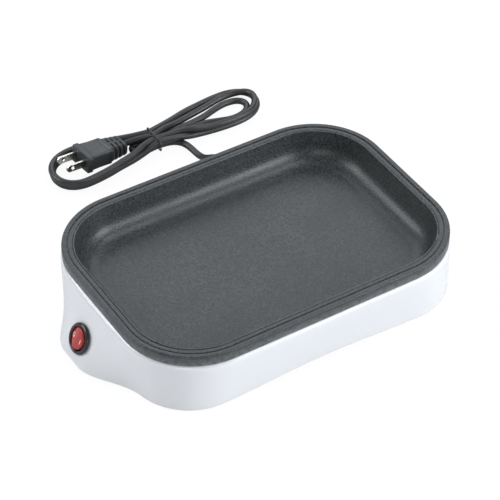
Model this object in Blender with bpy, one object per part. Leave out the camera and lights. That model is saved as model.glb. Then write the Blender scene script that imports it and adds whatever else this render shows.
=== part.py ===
"""Small electric griddle: a lift-out coated pan on a white heated base, with a rocker switch and a tied cord.

Run with: blender --background --python part.py
Metres, +Z up.  The feet stand on z = 0, the long side lies along X, and the switch pod is on the -X end.
"""
import math

import bmesh
import bpy
from mathutils import Matrix, Vector

# ---------------------------------------------------------------- driving dimensions (metres)
GAP = 0.0003                     # clearance between pieces that touch
CENTRE_X = 0.010                 # the pan's centre lies here, so that pod and pan balance about x = 0

PAN_HALF_LENGTH = 0.129
PAN_HALF_WIDTH = 0.092
PAN_CORNER = 0.0548
PAN_TOP = 0.0510
PAN_FLANGE_HEIGHT = 0.0080
PAN_RIM_WIDTH = 0.0093
PAN_FLOOR = 0.0270               # top of the cooking floor
PAN_FILLET = 0.0150              # inside, from wall to floor
PAN_THICKNESS = 0.0025

SHELL_BASE = (0.1272, 0.0896, 0.045)     # half length, half width, corner radius at the lower edge
SHELL_TOP = (0.1300, 0.0930, 0.0557)     # the same just under the shoulder
SHELL_LOW = 0.0015
SHELL_SHOULDER = 0.0387
SHOULDER_RADIUS = 0.0040
SHELL_WALL = 0.0025
SHELL_ARCH = 0.0035              # rise of the lower edge in the middle of each long side
SHELL_ARCH_REACH = 0.085
COLLAR_INSET = 0.0065            # from the outline to the pan opening
COLLAR_DEPTH = 0.0055

POD_CENTRE_Y = 0.004
POD_DEPTH = 0.0228               # how far the pod stands out at its foot
POD_PLATEAU = 0.010              # half width of its flat nose
POD_SPREAD = 0.058               # half width where its flanks meet the end wall
POD_HEIGHT = 0.046
POD_FADE = 1.45

SWITCH_Z = 0.0165
SWITCH_TILT = math.radians(26.5)         # the bezel looks up by this angle
BEZEL_RADIUS = 0.0115
BEZEL_HEIGHT = 0.0024
BEZEL_OPENING = 0.0086
BARREL_RADIUS = 0.0094
BARREL_DEPTH = 0.0100
BARREL_FLOOR = 0.0082            # depth of the hollow that the rocker sits in
ROCKER_RADIUS = 0.0079
ROCKER_RIDGE = 0.0030            # ridge above the bezel's seat
ROCKER_SLOPE = math.radians(7)
ROCKER_PIVOT = 0.0022            # pivot below the bezel's seat
ROCKER_DEPTH = 0.0066

PLATE_Z = 0.0062
PLATE_THICKNESS = 0.0014
PLATE_INSET = SHELL_WALL + 0.0006        # from the body's outline
VENT_SIZE = (0.0018, 0.0130)             # half width and half length of a slot
VENT_X = 0.045                           # middle of each group of slots
VENT_PITCH = 0.008
SCREW_HOLE = 0.0021
PILOT_RADIUS = 0.0016
PLATE_NOTCH_X = -0.110           # the plate stops here under the switch
PLATE_NOTCH_HALF = 0.022
POD_COVER_Z = 0.0018
FOOT_RADIUS = 0.0070
FOOT_PLACE = (0.092, 0.062)
BOSS_RADIUS = 0.0046
BOSS_PLACE = (0.106, 0.0665)
BOSS_TOP = 0.0235
BOSS_WEB = 0.0113                # from the boss's axis into the corner wall

HEATER_RADIUS = 0.0033
HEATER_Z = 0.0209
HEATER_LOOP = (0.088, 0.055, 0.036)      # half length, half width, corner radius
HEATER_LEG = 0.013               # half distance between the two cold ends
HEATER_LEG_LENGTH = 0.014        # from the loop's left side to the sheath's end
HEATER_BEND = 0.008
BUSHING_LENGTH = 0.0058
CLAMP_X = 0.040                  # the two rear clamps stand this far from the middle
THERMOSTAT_X = 0.020
FUSE_X = (-0.035, -0.022)
FUSE_RADIUS = 0.0024

TRAY_HALF = (0.1120, 0.0750, 0.042)
TRAY_Z = 0.0128
TRAY_RIM_Z = 0.0205
TRAY_THICKNESS = 0.0008
TRAY_NOTCH = (0.040, 0.046, 0.020)        # cut out of its left end for the element's legs
SPACER_PLACE = (0.080, 0.045)
SPACER_RADII = (0.0034, 0.0018)
WIRE_Z = 0.0106
WIRE_RADIUS = 0.0010
CLAMP_BLOCK = (0.0180, 0.0060, 0.0040)
CLAMP_BLOCK_Y = 0.0800

CORD_DIAMETER = 0.0052
CORD_EXIT = Vector((0.055, 0.0920, 0.0135))
CORD_HOLE = 0.0054
RELIEF_LENGTH = 0.028
HANK_LOW, HANK_HIGH = 0.0016, 0.0112
TIE_CENTRE = Vector((0.030, 0.1800, 0.0064))
TIE_HALF = (0.0095, 0.0057, 0.0015)      # half width, half height, corner radius
TIE_WIRE = 0.0005
PLUG_CENTRE = Vector((-0.0232, 0.1836, 0.0104))  # middle of the plug's body
PLUG_TURN = math.radians(186.5)          # the blades point along -X and a little -Y
PLUG_RISE = math.radians(8.0)            # and up by this angle, carried by the stiff cord
PLUG_SIZE = (0.0230, 0.0218, 0.0137)
PLUG_PLATE = 0.0045                      # thickness of its front plate
PLUG_RIDGES = 4
PLUG_RIDGE_PITCH = 0.0042
BLADE_SPACING = 0.0127
BLADE = (0.0170, 0.0015, 0.0063)         # length, thickness, width
BLADE_HOLE = (0.0118, 0.0016)            # its distance from the blade's root, and its radius

# Route of the free stretch of the cord, from the strain relief's tip to the hank.
CORD_ROUTE = [
    (0.0550, 0.1203, 0.0135),
    (0.0547, 0.1262, 0.0131),
    (0.0540, 0.1320, 0.0113),
    (0.0530, 0.1375, 0.0081),
    (0.0518, 0.1430, 0.0051),
    (0.0506, 0.1485, 0.0033),
    (0.0496, 0.1540, 0.0028),
    (0.0489, 0.1595, 0.0030),
    (0.0485, 0.1642, 0.0040),
]

# Outer edge of the tied hank, and the open eye of each of its two lobes.
HANK_EDGE = [
    (-0.0600, 0.1800), (-0.0578, 0.1930), (-0.0480, 0.2025), (-0.0330, 0.2065), (-0.0120, 0.2045),
    (0.0090, 0.1965), (0.0300, 0.1884), (0.0480, 0.1930), (0.0680, 0.2000), (0.0880, 0.2060),
    (0.1050, 0.2070), (0.1190, 0.2010), (0.1260, 0.1900), (0.1235, 0.1780), (0.1120, 0.1695),
    (0.0920, 0.1660), (0.0700, 0.1660), (0.0480, 0.1668), (0.0300, 0.1716), (0.0120, 0.1660),
    (-0.0060, 0.1600), (-0.0240, 0.1570), (-0.0400, 0.1575), (-0.0530, 0.1640),
]
HANK_LEFT_EYE = [
    (-0.0540, 0.1800), (-0.0520, 0.1910), (-0.0440, 0.1985), (-0.0310, 0.2010), (-0.0120, 0.1985),
    (0.0060, 0.1930), (0.0125, 0.1890), (0.0135, 0.1830), (0.0120, 0.1780), (0.0050, 0.1730),
    (-0.0080, 0.1670), (-0.0240, 0.1635), (-0.0380, 0.1635), (-0.0480, 0.1690),
]
HANK_RIGHT_EYE = [
    (0.0720, 0.1840), (0.0840, 0.1905), (0.0960, 0.1925), (0.1045, 0.1905), (0.1050, 0.1865),
    (0.0960, 0.1835), (0.0840, 0.1825),
]


# ---------------------------------------------------------------- small helpers
def clear_scene():
    for obj in list(bpy.data.objects):
        bpy.data.objects.remove(obj, do_unlink=True)


def material(name, colour, roughness, metallic=0.0):
    mat = bpy.data.materials.get(name) or bpy.data.materials.new(name)
    mat.use_nodes = True
    shader = mat.node_tree.nodes["Principled BSDF"]
    shader.inputs["Base Color"].default_value = (*colour, 1.0)
    shader.inputs["Roughness"].default_value = roughness
    shader.inputs["Metallic"].default_value = metallic
    return mat


def finish_mesh(name, bm, mat, smooth_angle=35.0):
    """Turn a bmesh into a named object with outward faces and smooth shading below an edge angle."""
    bmesh.ops.recalc_face_normals(bm, faces=bm.faces)
    mesh = bpy.data.meshes.new(name)
    bm.to_mesh(mesh)
    bm.free()
    mesh.shade_smooth()
    mesh.set_sharp_from_angle(angle=math.radians(smooth_angle))
    obj = bpy.data.objects.new(name, mesh)
    bpy.context.scene.collection.objects.link(obj)
    obj.data.materials.append(mat)
    return obj


def rounded_rectangle(half_x, half_y, radius, arc_steps=8, side_x=1, side_y=1):
    """Outline round the origin, anticlockwise from the +X side; side_x and side_y split the straight runs."""
    points = []
    corners = [(1, 1, 0), (-1, 1, 90), (-1, -1, 180), (1, -1, 270)]
    for number, (sx, sy, start) in enumerate(corners):
        cx = sx * (half_x - radius)
        cy = sy * (half_y - radius)
        for step in range(arc_steps + 1):
            angle = math.radians(start + 90.0 * step / arc_steps)
            points.append((cx + radius * math.cos(angle), cy + radius * math.sin(angle)))
        nsx, nsy, nstart = corners[(number + 1) % 4]
        begin = points[-1]
        angle = math.radians(nstart)
        end_x = nsx * (half_x - radius) + radius * math.cos(angle)
        end_y = nsy * (half_y - radius) + radius * math.sin(angle)
        pieces = side_x if number % 2 == 0 else side_y
        for step in range(1, pieces):
            t = step / pieces
            points.append((begin[0] + (end_x - begin[0]) * t, begin[1] + (end_y - begin[1]) * t))
    return points


def loft(rings, closed=False):
    """Skin a list of equal rings of 3-D points; the ends are capped unless the rings close on themselves."""
    bm = bmesh.new()
    loops = [[bm.verts.new(point) for point in ring] for ring in rings]
    pairs = list(zip(loops, loops[1:]))
    if closed:
        pairs.append((loops[-1], loops[0]))
    for lower, upper in pairs:
        for i in range(len(lower)):
            j = (i + 1) % len(lower)
            bm.faces.new((lower[i], lower[j], upper[j], upper[i]))
    if not closed:
        bm.faces.new(list(reversed(loops[0])))
        bm.faces.new(loops[-1])
    return bm


def turned(profile, steps=20):
    """Solid of revolution about Z from (radius, height) points; a point on the axis closes that end."""
    bm = bmesh.new()
    loops = []
    for radius, height in profile:
        if radius < 1e-6:
            loops.append([bm.verts.new((0.0, 0.0, height))])
            continue
        angles = [2 * math.pi * k / steps for k in range(steps)]
        loops.append([bm.verts.new((radius * math.cos(a), radius * math.sin(a), height)) for a in angles])
    ring_profile = len(loops[0]) > 1 and len(loops[-1]) > 1
    pairs = list(zip(loops, loops[1:]))
    if ring_profile:
        pairs.append((loops[-1], loops[0]))
    for first, second in pairs:
        for k in range(steps):
            n = (k + 1) % steps
            corners = [first[k % len(first)], first[n % len(first)]]
            corners += [second[n % len(second)], second[k % len(second)]]
            bm.faces.new(list(dict.fromkeys(corners)))
    return bm


def rod_mesh(radius, low, high, steps):
    return turned([(0.0, low), (radius, low), (radius, high), (0.0, high)], steps)


def box_mesh(size, bevel=0.0, bevel_steps=2):
    bm = bmesh.new()
    bmesh.ops.create_cube(bm, size=1.0)
    bmesh.ops.scale(bm, vec=Vector(size), verts=bm.verts)
    if bevel > 0.0:
        bmesh.ops.bevel(bm, geom=bm.edges[:], offset=bevel, segments=bevel_steps, profile=0.5, affect="EDGES")
    return bm


def smooth_points(points, spacing, closed=False):
    """Points at an even spacing along a Catmull-Rom curve through the given ones."""
    route = [Vector(p) for p in points]
    count = len(route)
    spans = count if closed else count - 1
    dense = []
    for span in range(spans):
        if closed:
            p0, p1, p2, p3 = (route[(span + k) % count] for k in (-1, 0, 1, 2))
        else:
            p1, p2 = route[span], route[span + 1]
            p0 = route[span - 1] if span else p1 * 2 - p2
            p3 = route[span + 2] if span + 2 < count else p2 * 2 - p1
        for step in range(16):
            t = step / 16
            dense.append(0.5 * ((2 * p1) + (p2 - p0) * t + (2 * p0 - 5 * p1 + 4 * p2 - p3) * t * t
                                + (3 * p1 - p0 - 3 * p2 + p3) * t ** 3))
    dense.append(dense[0] if closed else route[-1])
    lengths = [0.0]
    for a, b in zip(dense, dense[1:]):
        lengths.append(lengths[-1] + (b - a).length)
    pieces = max(2, round(lengths[-1] / spacing))
    result = []
    place = 0
    for k in range(pieces if closed else pieces + 1):
        target = lengths[-1] * k / pieces
        while place < len(dense) - 2 and lengths[place + 1] < target:
            place += 1
        step = max(lengths[place + 1] - lengths[place], 1e-12)
        result.append(dense[place].lerp(dense[place + 1], min(1.0, (target - lengths[place]) / step)))
    return result


def tube(name, points, radius, mat, resolution=2, cyclic=False):
    """A round rod, wire or cord along a poly curve."""
    curve = bpy.data.curves.new(name, "CURVE")
    curve.dimensions = "3D"
    curve.bevel_depth = radius
    curve.bevel_resolution = resolution
    curve.use_fill_caps = not cyclic
    spline = curve.splines.new("POLY")
    spline.points.add(len(points) - 1)
    for target, point in zip(spline.points, points):
        target.co = (*point, 1.0)
    spline.use_smooth = True
    spline.use_cyclic_u = cyclic
    obj = bpy.data.objects.new(name, curve)
    bpy.context.scene.collection.objects.link(obj)
    obj.data.materials.append(mat)
    return obj


def cutter(name, bm, matrix=None):
    """A hidden shape that only cuts others."""
    mesh = bpy.data.meshes.new(name)
    bmesh.ops.recalc_face_normals(bm, faces=bm.faces)
    bm.to_mesh(mesh)
    bm.free()
    obj = bpy.data.objects.new(name, mesh)
    bpy.context.scene.collection.objects.link(obj)
    obj.hide_render = True
    obj.display_type = "WIRE"
    if matrix is not None:
        obj.matrix_world = matrix
    return obj


def boolean(target, tool, operation="DIFFERENCE"):
    mod = target.modifiers.new(tool.name, "BOOLEAN")
    mod.object = tool
    mod.operation = operation
    mod.solver = "EXACT"


def empty(name, location=(0.0, 0.0, 0.0), matrix=None):
    obj = bpy.data.objects.new(name, None)
    bpy.context.scene.collection.objects.link(obj)
    if matrix is None:
        obj.location = location
    else:
        obj.matrix_world = matrix
    return obj


def attach(child, parent):
    """Parent without changing the child's own numbers: they are read in the parent's frame."""
    child.parent = parent


# ---------------------------------------------------------------- the body's outline
def pod_reach(y, z):
    """How far the switch pod pushes the end wall out at this place."""
    off_centre = abs(y - POD_CENTRE_Y)
    t = min(1.0, max(0.0, (POD_SPREAD - off_centre) / (POD_SPREAD - POD_PLATEAU)))
    flank = t * t * (3 - 2 * t)
    height = max(0.0, 1.0 - (z - SHELL_LOW) / (POD_HEIGHT - SHELL_LOW))
    return POD_DEPTH * flank * height ** POD_FADE


def body_ring(z, inset, arc_steps=8, side_x=8, side_y=14, arch=True):
    """The body's outline at a height, moved inwards by inset, with its pod and its arched lower edge."""
    rise = min(1.0, max(0.0, (z - SHELL_LOW) / (SHELL_SHOULDER - SHELL_LOW)))
    half_x = SHELL_BASE[0] + (SHELL_TOP[0] - SHELL_BASE[0]) * rise - inset
    half_y = SHELL_BASE[1] + (SHELL_TOP[1] - SHELL_BASE[1]) * rise - inset
    radius = SHELL_BASE[2] + (SHELL_TOP[2] - SHELL_BASE[2]) * rise - inset
    ring = []
    for x, y in rounded_rectangle(half_x, half_y, radius, arc_steps, side_x, side_y):
        lift = 0.0
        if arch and abs(x) < SHELL_ARCH_REACH:
            lift = SHELL_ARCH * math.cos(0.5 * math.pi * x / SHELL_ARCH_REACH) ** 2 * (1.0 - rise)
        if x < 0.0:
            x -= pod_reach(y, z) * min(1.0, -x / (0.6 * half_x)) ** 4
        ring.append((x + CENTRE_X, y, z + lift))
    return ring


def switch_matrix():
    """Frame of the switch: X up the slope, Y along the body's Y, Z out of the pod."""
    n = Vector((-math.cos(SWITCH_TILT), 0.0, math.sin(SWITCH_TILT)))
    u = Vector((math.sin(SWITCH_TILT), 0.0, math.cos(SWITCH_TILT)))
    wall_x = SHELL_BASE[0] + (SHELL_TOP[0] - SHELL_BASE[0]) * (SWITCH_Z / SHELL_SHOULDER)
    seat_x = CENTRE_X - wall_x - pod_reach(POD_CENTRE_Y, SWITCH_Z)
    matrix = Matrix((u, Vector((0.0, 1.0, 0.0)), n)).transposed().to_4x4()
    matrix.translation = Vector((seat_x, POD_CENTRE_Y, SWITCH_Z)) + n * 0.0006
    return matrix


# ---------------------------------------------------------------- body and pan
def build_body_shell(mat):
    """One moulding: outer wall, rounded shoulder, the collar round the pan and four screw bosses."""
    rings = [body_ring(z, 0.0) for z in (SHELL_LOW, 0.006, 0.012, 0.019, 0.026, 0.033, SHELL_SHOULDER)]
    for step in range(1, 5):
        angle = math.radians(90.0 * step / 4)
        inset = SHOULDER_RADIUS * (1 - math.cos(angle))
        rings.append(body_ring(SHELL_SHOULDER + SHOULDER_RADIUS * math.sin(angle), inset))
    top = SHELL_SHOULDER + SHOULDER_RADIUS
    rings.append(body_ring(top, COLLAR_INSET))
    rings.append(body_ring(top - COLLAR_DEPTH, COLLAR_INSET))
    for z in (0.033, 0.026, 0.019, 0.012, 0.006, SHELL_LOW):
        rings.append(body_ring(z, SHELL_WALL))
    shell = finish_mesh("body_shell", loft(rings, closed=True), mat)

    for sx in (-1, 1):
        for sy in (-1, 1):
            add_boss(shell, sx, sy)

    boolean(shell, cutter("switch_hole", rod_mesh(BARREL_RADIUS + 0.0004, -0.02, 0.01, 28), switch_matrix()))
    exit_hole = rod_mesh(CORD_HOLE, -0.02, 0.02, 20)
    exit_place = Matrix.Translation(CORD_EXIT) @ Matrix.Rotation(math.radians(90), 4, "X")
    boolean(shell, cutter("cord_hole", exit_hole, exit_place))


def add_boss(shell, sx, sy):
    """One screw boss in a corner, joined to the wall by a web, with its pilot hole."""
    low = PLATE_Z + PLATE_THICKNESS + GAP
    tag = f"{'r' if sx > 0 else 'l'}{'b' if sy > 0 else 'f'}"
    place = Matrix.Translation((CENTRE_X + sx * BOSS_PLACE[0], sy * BOSS_PLACE[1], 0.0))
    web = box_mesh((BOSS_WEB, 0.0024, BOSS_TOP - low))
    bmesh.ops.translate(web, vec=(BOSS_WEB / 2, 0.0, (BOSS_TOP + low) / 2), verts=web.verts)
    outward = Matrix.Rotation(math.atan2(sy, sx), 4, "Z")
    boolean(shell, cutter(f"web_{tag}", web, place @ outward), "UNION")
    boolean(shell, cutter(f"post_{tag}", rod_mesh(BOSS_RADIUS, low, BOSS_TOP, 16), place), "UNION")
    boolean(shell, cutter(f"pilot_{tag}", rod_mesh(PILOT_RADIUS, low - 0.001, 0.0200, 12), place))


def build_pan(mat):
    """Cast pan: skirted flange with a grooved rim, drafted wall, round fillet and flat floor."""
    top = PAN_TOP
    wall_in = PAN_RIM_WIDTH
    foot = wall_in + 0.0022                      # the wall's draft, rim to fillet
    profile = [(0.0, top - PAN_FLANGE_HEIGHT), (0.0, top - 0.0012), (0.0004, top - 0.0004), (0.0013, top)]
    profile += [(0.0040, top), (0.0044, top - 0.0008), (0.0050, top - 0.0008), (0.0054, top)]
    profile += [(wall_in - 0.0006, top), (wall_in, top - 0.0006)]
    fillet_top = PAN_FLOOR + PAN_FILLET
    profile.append((foot - 0.0002, fillet_top))
    for step in range(1, 7):
        angle = math.radians(90.0 * step / 6)
        profile.append((foot + PAN_FILLET * (1 - math.cos(angle)), fillet_top - PAN_FILLET * math.sin(angle)))
    inner = len(profile)
    under = foot - PAN_THICKNESS
    radius = PAN_FILLET + PAN_THICKNESS
    for step in range(6, 0, -1):
        angle = math.radians(90.0 * step / 6)
        profile.append((under + radius * (1 - math.cos(angle)), fillet_top - radius * math.sin(angle)))
    profile.append((wall_in - PAN_THICKNESS, top - 0.0030))
    profile.append((0.0022, top - 0.0030))
    profile.append((0.0022, top - PAN_FLANGE_HEIGHT))
    bm = bmesh.new()
    loops = []
    for inset, z in profile:
        outline = rounded_rectangle(PAN_HALF_LENGTH - inset, PAN_HALF_WIDTH - inset, PAN_CORNER - inset, 9)
        loops.append([bm.verts.new((x + CENTRE_X, y, z)) for x, y in outline])
    count = len(loops[0])
    for number, lower in enumerate(loops):
        if number == inner - 1:
            continue
        upper = loops[(number + 1) % len(loops)]
        for i in range(count):
            j = (i + 1) % count
            bm.faces.new((lower[i], lower[j], upper[j], upper[i]))
    bm.faces.new(loops[inner - 1])
    bm.faces.new(list(reversed(loops[inner])))
    finish_mesh("pan", bm, mat)


def build_base_plate(mat):
    """Pressed steel plate that closes the body from below, with vents and screw holes."""
    low = body_ring(PLATE_Z, PLATE_INSET, arch=False)
    high = body_ring(PLATE_Z + PLATE_THICKNESS, PLATE_INSET, arch=False)
    plate = finish_mesh("base_plate", loft([low, high]), mat)
    for row in (-1, 1):
        for column in range(-2, 3):
            slot = prism(rounded_rectangle(*VENT_SIZE, VENT_SIZE[0], 3), -0.01, 0.01)
            place = Matrix.Translation((CENTRE_X + row * VENT_X + column * VENT_PITCH, 0.0, PLATE_Z))
            boolean(plate, cutter(f"vent_{row}_{column}", slot, place))
    for sx in (-1, 1):
        for sy in (-1, 1):
            place = Matrix.Translation((CENTRE_X + sx * BOSS_PLACE[0], sy * BOSS_PLACE[1], PLATE_Z))
            boolean(plate, cutter(f"drill_{sx}_{sy}", rod_mesh(SCREW_HOLE, -0.01, 0.01, 14), place))
    notch = box_mesh((0.060, 2 * PLATE_NOTCH_HALF, 0.020))
    boolean(plate, cutter("notch", notch, Matrix.Translation((PLATE_NOTCH_X - 0.030, POD_CENTRE_Y, PLATE_Z))))


def build_pod_cover(mat):
    """Small cover that closes the pod under the switch, lower than the base plate."""
    low = body_ring(POD_COVER_Z, PLATE_INSET, arch=False)
    high = body_ring(POD_COVER_Z + PLATE_THICKNESS, PLATE_INSET, arch=False)
    cover = finish_mesh("pod_cover", loft([low, high]), mat)
    keep = box_mesh((0.060, 2 * PLATE_NOTCH_HALF - 2 * GAP, 0.020))
    place = Matrix.Translation((PLATE_NOTCH_X - 0.030 - GAP, POD_CENTRE_Y, POD_COVER_Z))
    boolean(cover, cutter("pod_cover_edge", keep, place), "INTERSECT")


def build_feet(mat):
    for side, sx in (("left", -1), ("right", 1)):
        for end, sy in (("front", -1), ("rear", 1)):
            top = PLATE_Z - GAP
            profile = [(0.0, 0.0), (FOOT_RADIUS - 0.0012, 0.0), (FOOT_RADIUS - 0.0004, 0.0004)]
            profile += [(FOOT_RADIUS, 0.0014), (FOOT_RADIUS + 0.0004, top), (0.0, top)]
            foot = finish_mesh(f"foot_{end}_{side}", turned(profile, 20), mat)
            foot.location = (CENTRE_X + sx * FOOT_PLACE[0], sy * FOOT_PLACE[1], 0.0)


def build_base_screws(mat):
    for side, sx in (("left", -1), ("right", 1)):
        for end, sy in (("front", -1), ("rear", 1)):
            profile = [(0.0, -0.0018), (0.0026, -0.0016), (0.0032, -0.0008), (0.0032, 0.0)]
            profile += [(0.0013, 0.0), (0.0013, 0.0100), (0.0, 0.0112)]
            screw = finish_mesh(f"base_screw_{end}_{side}", turned(profile, 14), mat)
            screw.location = (CENTRE_X + sx * BOSS_PLACE[0], sy * BOSS_PLACE[1], PLATE_Z - GAP)


# ---------------------------------------------------------------- switch
def build_switch(black, red, metal, glow):
    frame = empty("switch_frame", matrix=switch_matrix())

    outer = [(BARREL_RADIUS, -BARREL_DEPTH), (BARREL_RADIUS, 0.0003), (BEZEL_RADIUS, 0.0003)]
    outer += [(BEZEL_RADIUS, 0.0009), (BEZEL_RADIUS - 0.0005, 0.0017), (BEZEL_RADIUS - 0.0016, BEZEL_HEIGHT)]
    outer += [(BEZEL_OPENING + 0.0006, BEZEL_HEIGHT), (BEZEL_OPENING, BEZEL_HEIGHT - 0.0006)]
    outer += [(BEZEL_OPENING, -BARREL_FLOOR), (0.0, -BARREL_FLOOR)]
    bezel = finish_mesh("switch_bezel", turned([(0.0, -BARREL_DEPTH)] + outer, 32), black)
    attach(bezel, frame)

    rocker = finish_mesh("switch_rocker", rocker_mesh(), red, 20.0)
    attach(rocker, frame)
    rocker.location = (0.0, 0.0, -ROCKER_PIVOT)
    rocker.rotation_euler = (-ROCKER_SLOPE, 0.0, 0.0)

    dome = turned([(0.0, 0.0), (0.0016, 0.0), (0.0016, 0.0010), (0.0, 0.0014)], 12)
    lamp = finish_mesh("switch_lamp", dome, glow)
    attach(lamp, frame)
    lamp.location = (0.0, 0.0, GAP - BARREL_FLOOR)

    for number, x in enumerate((-0.0038, 0.0008, 0.0054), start=1):
        tab = box_mesh((0.0008, 0.0048, 0.0080))
        terminal = finish_mesh(f"switch_terminal_{number}", tab, metal)
        attach(terminal, frame)
        terminal.location = (x, 0.0, -BARREL_DEPTH - GAP - 0.0040)


def rocker_mesh():
    """Round roof-shaped key about its pivot: two flat facets that meet in a ridge along X."""
    steps = 36
    top = ROCKER_RIDGE + ROCKER_PIVOT
    low = top - ROCKER_DEPTH - 0.0012
    bm = bmesh.new()
    rings = []
    for radius_scale, level in ((0.86, "low"), (1.0, "mid"), (1.0, "edge"), (0.955, "face")):
        ring = []
        for k in range(steps):
            angle = 2 * math.pi * k / steps
            x = ROCKER_RADIUS * radius_scale * math.cos(angle)
            y = ROCKER_RADIUS * radius_scale * math.sin(angle)
            roof = top - abs(y) * math.tan(ROCKER_SLOPE)
            z = {"low": low, "mid": 0.0012, "edge": roof - 0.0006, "face": roof}[level]
            ring.append(bm.verts.new((x, y, z)))
        rings.append(ring)
    for lower, upper in zip(rings, rings[1:]):
        for k in range(steps):
            n = (k + 1) % steps
            bm.faces.new((lower[k], lower[n], upper[n], upper[k]))
    bm.faces.new(list(reversed(rings[0])))
    half = steps // 2
    bm.faces.new(rings[-1][:half + 1])
    bm.faces.new(rings[-1][half:] + [rings[-1][0]])
    return bm


# ---------------------------------------------------------------- heater and wiring inside
def build_element(mat):
    """Sheathed element under the pan: one loop that starts and ends beside the switch pod."""
    half_x, half_y, radius = HEATER_LOOP
    steps = 7
    outline = rounded_rectangle(half_x, half_y, radius, steps)
    clockwise = [(x + CENTRE_X, y, HEATER_Z) for x, y in reversed(outline)]
    loop = clockwise[2 * (steps + 1):] + clockwise[:2 * (steps + 1)]
    start_x = CENTRE_X - half_x
    leg = [(start_x - HEATER_LEG_LENGTH, HEATER_LEG, HEATER_Z), (start_x - HEATER_BEND, HEATER_LEG, HEATER_Z)]
    leg += [(start_x - 0.002, HEATER_LEG + 0.0022, HEATER_Z), (start_x, HEATER_LEG + HEATER_BEND, HEATER_Z)]
    route = leg + loop[1:-1] + [(x, -y, z) for x, y, z in reversed(leg)]
    tube("heater_element", smooth_points(route, 0.0095), HEATER_RADIUS, mat, 2)


def build_terminals(ceramic, steel):
    """Ceramic bushing and steel pin on each cold end of the element."""
    end_x = CENTRE_X - HEATER_LOOP[0] - HEATER_LEG_LENGTH - GAP
    for name, sy in (("rear", 1), ("front", -1)):
        profile = [(0.0, 0.0), (0.0033, 0.0), (0.0033, 0.0050)]
        profile += [(0.0024, BUSHING_LENGTH), (0.0, BUSHING_LENGTH)]
        bushing = finish_mesh(f"heater_bushing_{name}", turned(profile, 16), ceramic)
        bushing.rotation_euler = (0.0, math.radians(-90), 0.0)
        bushing.location = (end_x, sy * HEATER_LEG, HEATER_Z)
        profile = [(0.0, 0.0), (0.0014, 0.0), (0.0014, 0.0070), (0.0, 0.0074)]
        pin = finish_mesh(f"heater_pin_{name}", turned(profile, 12), steel)
        pin.rotation_euler = (0.0, math.radians(-90), 0.0)
        pin.location = (end_x - BUSHING_LENGTH - GAP, sy * HEATER_LEG, HEATER_Z)


def build_clamps(mat):
    for name, x, sy in (("left", -CLAMP_X, 1), ("right", CLAMP_X, 1), ("front", 0.0, -1)):
        build_heater_clamp(f"heater_clamp_{name}", CENTRE_X + x, sy * HEATER_LOOP[1], mat)


def build_thermostat(black, ceramic):
    """Disc thermostat and thermal fuse, both on the tray's floor."""
    base = TRAY_Z + TRAY_THICKNESS + GAP
    profile = [(0.0, 0.0), (0.0080, 0.0), (0.0080, 0.0050), (0.0066, 0.0054), (0.0066, 0.0096)]
    profile += [(0.0060, 0.0102), (0.0, 0.0102)]
    thermostat = finish_mesh("thermostat", turned(profile, 24), black)
    thermostat.location = (CENTRE_X + THERMOSTAT_X, 0.0, base)
    line = [(CENTRE_X + x, 0.0, base + 0.0030) for x in FUSE_X]
    tube("thermal_fuse", line, FUSE_RADIUS, ceramic, 2)


def build_tray(mat):
    """Shallow reflector tray with a turned-out rim, under the element."""
    half_x, half_y, radius = TRAY_HALF
    under = [(0.0070, TRAY_Z), (0.0040, TRAY_RIM_Z), (0.0, TRAY_RIM_Z)]
    upper = [(0.0, TRAY_RIM_Z), (0.0043, TRAY_RIM_Z), (0.0074, TRAY_Z)]
    rings = []
    for inset, z in under + [(inset, z + TRAY_THICKNESS) for inset, z in upper]:
        outline = rounded_rectangle(half_x - inset, half_y - inset, radius - inset, 7)
        rings.append([(x + CENTRE_X, y, z) for x, y in outline])
    tray = finish_mesh("reflector_tray", loft(rings), mat)
    place = Matrix.Translation((CENTRE_X - half_x, 0.0, TRAY_Z + 0.0127))
    boolean(tray, cutter("tray_notch", box_mesh(TRAY_NOTCH), place))


def build_heater_clamp(name, x, y, mat):
    """Sheet strap that holds the element down: a saddle under it with two short arms up its sides."""
    base = TRAY_Z + TRAY_THICKNESS + GAP
    outline = [(-0.0060, base), (0.0060, base), (0.0060, HEATER_Z - 0.0002), (0.0046, HEATER_Z - 0.0002)]
    outline += [(0.0046, HEATER_Z - HEATER_RADIUS - GAP), (-0.0046, HEATER_Z - HEATER_RADIUS - GAP)]
    outline += [(-0.0046, HEATER_Z - 0.0002), (-0.0060, HEATER_Z - 0.0002)]
    left = [(x - 0.0035, y + v, z) for v, z in outline]
    right = [(x + 0.0035, y + v, z) for v, z in outline]
    finish_mesh(name, loft([left, right]), mat)


def build_tray_spacers(mat):
    """Tubular spacers that carry the tray on the base plate."""
    low = PLATE_Z + PLATE_THICKNESS + GAP
    high = TRAY_Z - GAP
    for side, sx in (("left", -1), ("right", 1)):
        for end, sy in (("front", -1), ("rear", 1)):
            outer, inner = SPACER_RADII
            profile = [(outer, low), (outer, high), (inner, high), (inner, low)]
            spacer = finish_mesh(f"tray_spacer_{end}_{side}", turned(profile, 14), mat)
            spacer.location = (CENTRE_X + sx * SPACER_PLACE[0], sy * SPACER_PLACE[1], 0.0)


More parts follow.
